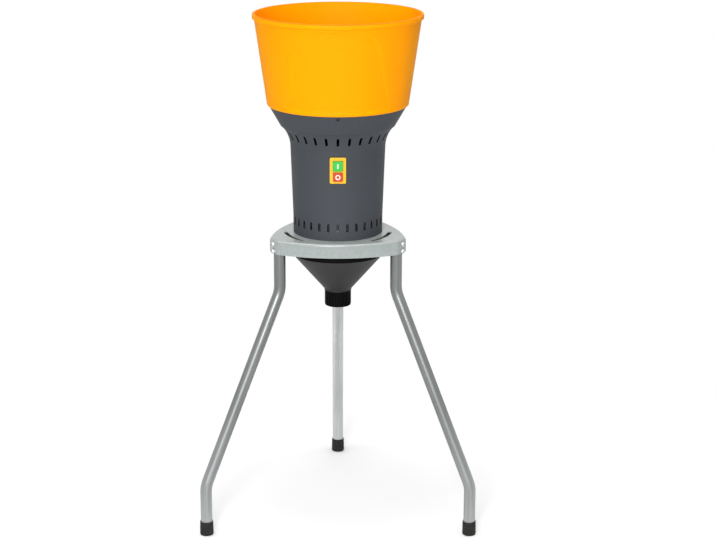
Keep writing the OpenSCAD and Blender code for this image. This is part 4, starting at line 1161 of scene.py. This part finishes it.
class MILL_OT_stage(bpy.types.Operator):
    """Floor, pale background, soft lights and the camera"""
    bl_idname = "mill.stage"
    bl_label = "Stage"

    def execute(self, context):
        s = context.scene.mill_stage
        self.add_floor(s)
        self.add_world(context, s)
        self.add_lights(s)
        leave_edit()
        bpy.ops.object.camera_add(
            location=(0, -s.camera_back, s.camera_height),
            rotation=(math.pi / 2 - s.camera_pitch, 0, 0))
        camera = context.active_object
        camera.data.lens = s.lens
        camera.data.sensor_width = 36
        camera.data.shift_x = s.shift
        context.scene.camera = camera
        context.scene.view_settings.view_transform = "Standard"
        return {"FINISHED"}

    def add_floor(self, s):
        """A pale floor that looks plain white away from the mill, to the eye and in mirrors."""
        leave_edit()
        bpy.ops.mesh.primitive_circle_add(
            vertices=96, radius=s.floor_radius, fill_type="NGON", location=(0, 0, 0))
        floor = named("studio_floor")
        finish, n, k, surface = blank_finish("Studio floor", 0.0, 0.9)
        preset(surface, Base_Color=opaque(s.floor_colour), Specular_IOR_Level=0.1)
        white = n.new("ShaderNodeEmission")
        away = ramp(n, k, vector_node(n, k, "LENGTH", object_place(n)), 0.55, 1.3)
        part = product(n, k, seen_by(n, k, "Is Glossy Ray"), away)
        mix_surfaces(n, k, part, surface, white, "Material Output")
        floor.data.materials.append(finish)

    def add_world(self, context, s):
        """Soft light from all round, in front of a white backdrop."""
        world = bpy.data.worlds.new("Pale studio")
        context.scene.world = world
        world.use_nodes = True
        n, k = graph(world)
        light = n["Background"]
        preset(light, Color=(1, 1, 1, 1), Strength=s.world_light)
        backdrop = n.new("ShaderNodeBackground")
        preset(backdrop, Color=(1, 1, 1, 1), Strength=1.0)
        seen = seen_by(n, k, "Is Glossy Ray", "Is Transmission Ray")
        mix_surfaces(n, k, seen, light, backdrop, "World Output")

    def add_lights(self, s):
        """Three soft area lamps, aimed at the middle of the mill."""
        aim = Vector((0, 0, 0.65))
        for name, place, size, power in (
                ("key", Vector((-0.4, -3.4, 1.8)), 1.2, s.key_power),
                ("top", Vector((-0.2, -0.3, 5.0)), 4.0, s.top_power),
                ("back", Vector((0.6, 2.6, 3.4)), 1.6, s.back_power)):
            leave_edit()
            bpy.ops.object.light_add(type="AREA", location=place)
            lamp = bpy.context.active_object
            lamp.name = f"{name}_light"
            lamp.data.size = size
            lamp.data.energy = power
            lamp.rotation_euler = (aim - place).to_track_quat("-Z", "Y").to_euler()


class MILL_PT_panel(bpy.types.Panel):
    """Lists the mill's pieces in the sidebar"""
    bl_label = "Grain mill"
    bl_idname = "MILL_PT_panel"
    bl_space_type = "VIEW_3D"
    bl_region_type = "UI"
    bl_category = "Mill"

    def draw(self, context):
        for name in GROUPS:
            group = getattr(context.scene, name)
            box = self.layout.box()
            for label in group.__annotations__:
                box.prop(group, label)
        for step in STEPS:
            self.layout.operator(step.bl_idname)


STEPS = (MILL_OT_cad_finishes, MILL_OT_legs, MILL_OT_feet, MILL_OT_fasteners, MILL_OT_hopper,
         MILL_OT_knob, MILL_OT_outlet, MILL_OT_switch, MILL_OT_gland, MILL_OT_stage)
GROUPS = {"mill_sizes": MillSizes, "mill_colours": MillColours, "mill_stage": MillStage}


def register():
    for group in GROUPS.values():
        bpy.utils.register_class(group)
    for step in STEPS:
        bpy.utils.register_class(step)
    bpy.utils.register_class(MILL_PT_panel)
    for name, group in GROUPS.items():
        setattr(bpy.types.Scene, name, bpy.props.PointerProperty(type=group))


def unregister():
    for name in GROUPS:
        delattr(bpy.types.Scene, name)
    for kind in (MILL_PT_panel, *reversed(STEPS), *GROUPS.values()):
        bpy.utils.unregister_class(kind)


def main():
    register()
    for step in STEPS:
        family, action = step.bl_idname.split(".")
        if getattr(getattr(bpy.ops, family), action)() != {"FINISHED"}:
            raise RuntimeError(f"{step.bl_idname} did not finish")


if __name__ == "__main__":
    main()
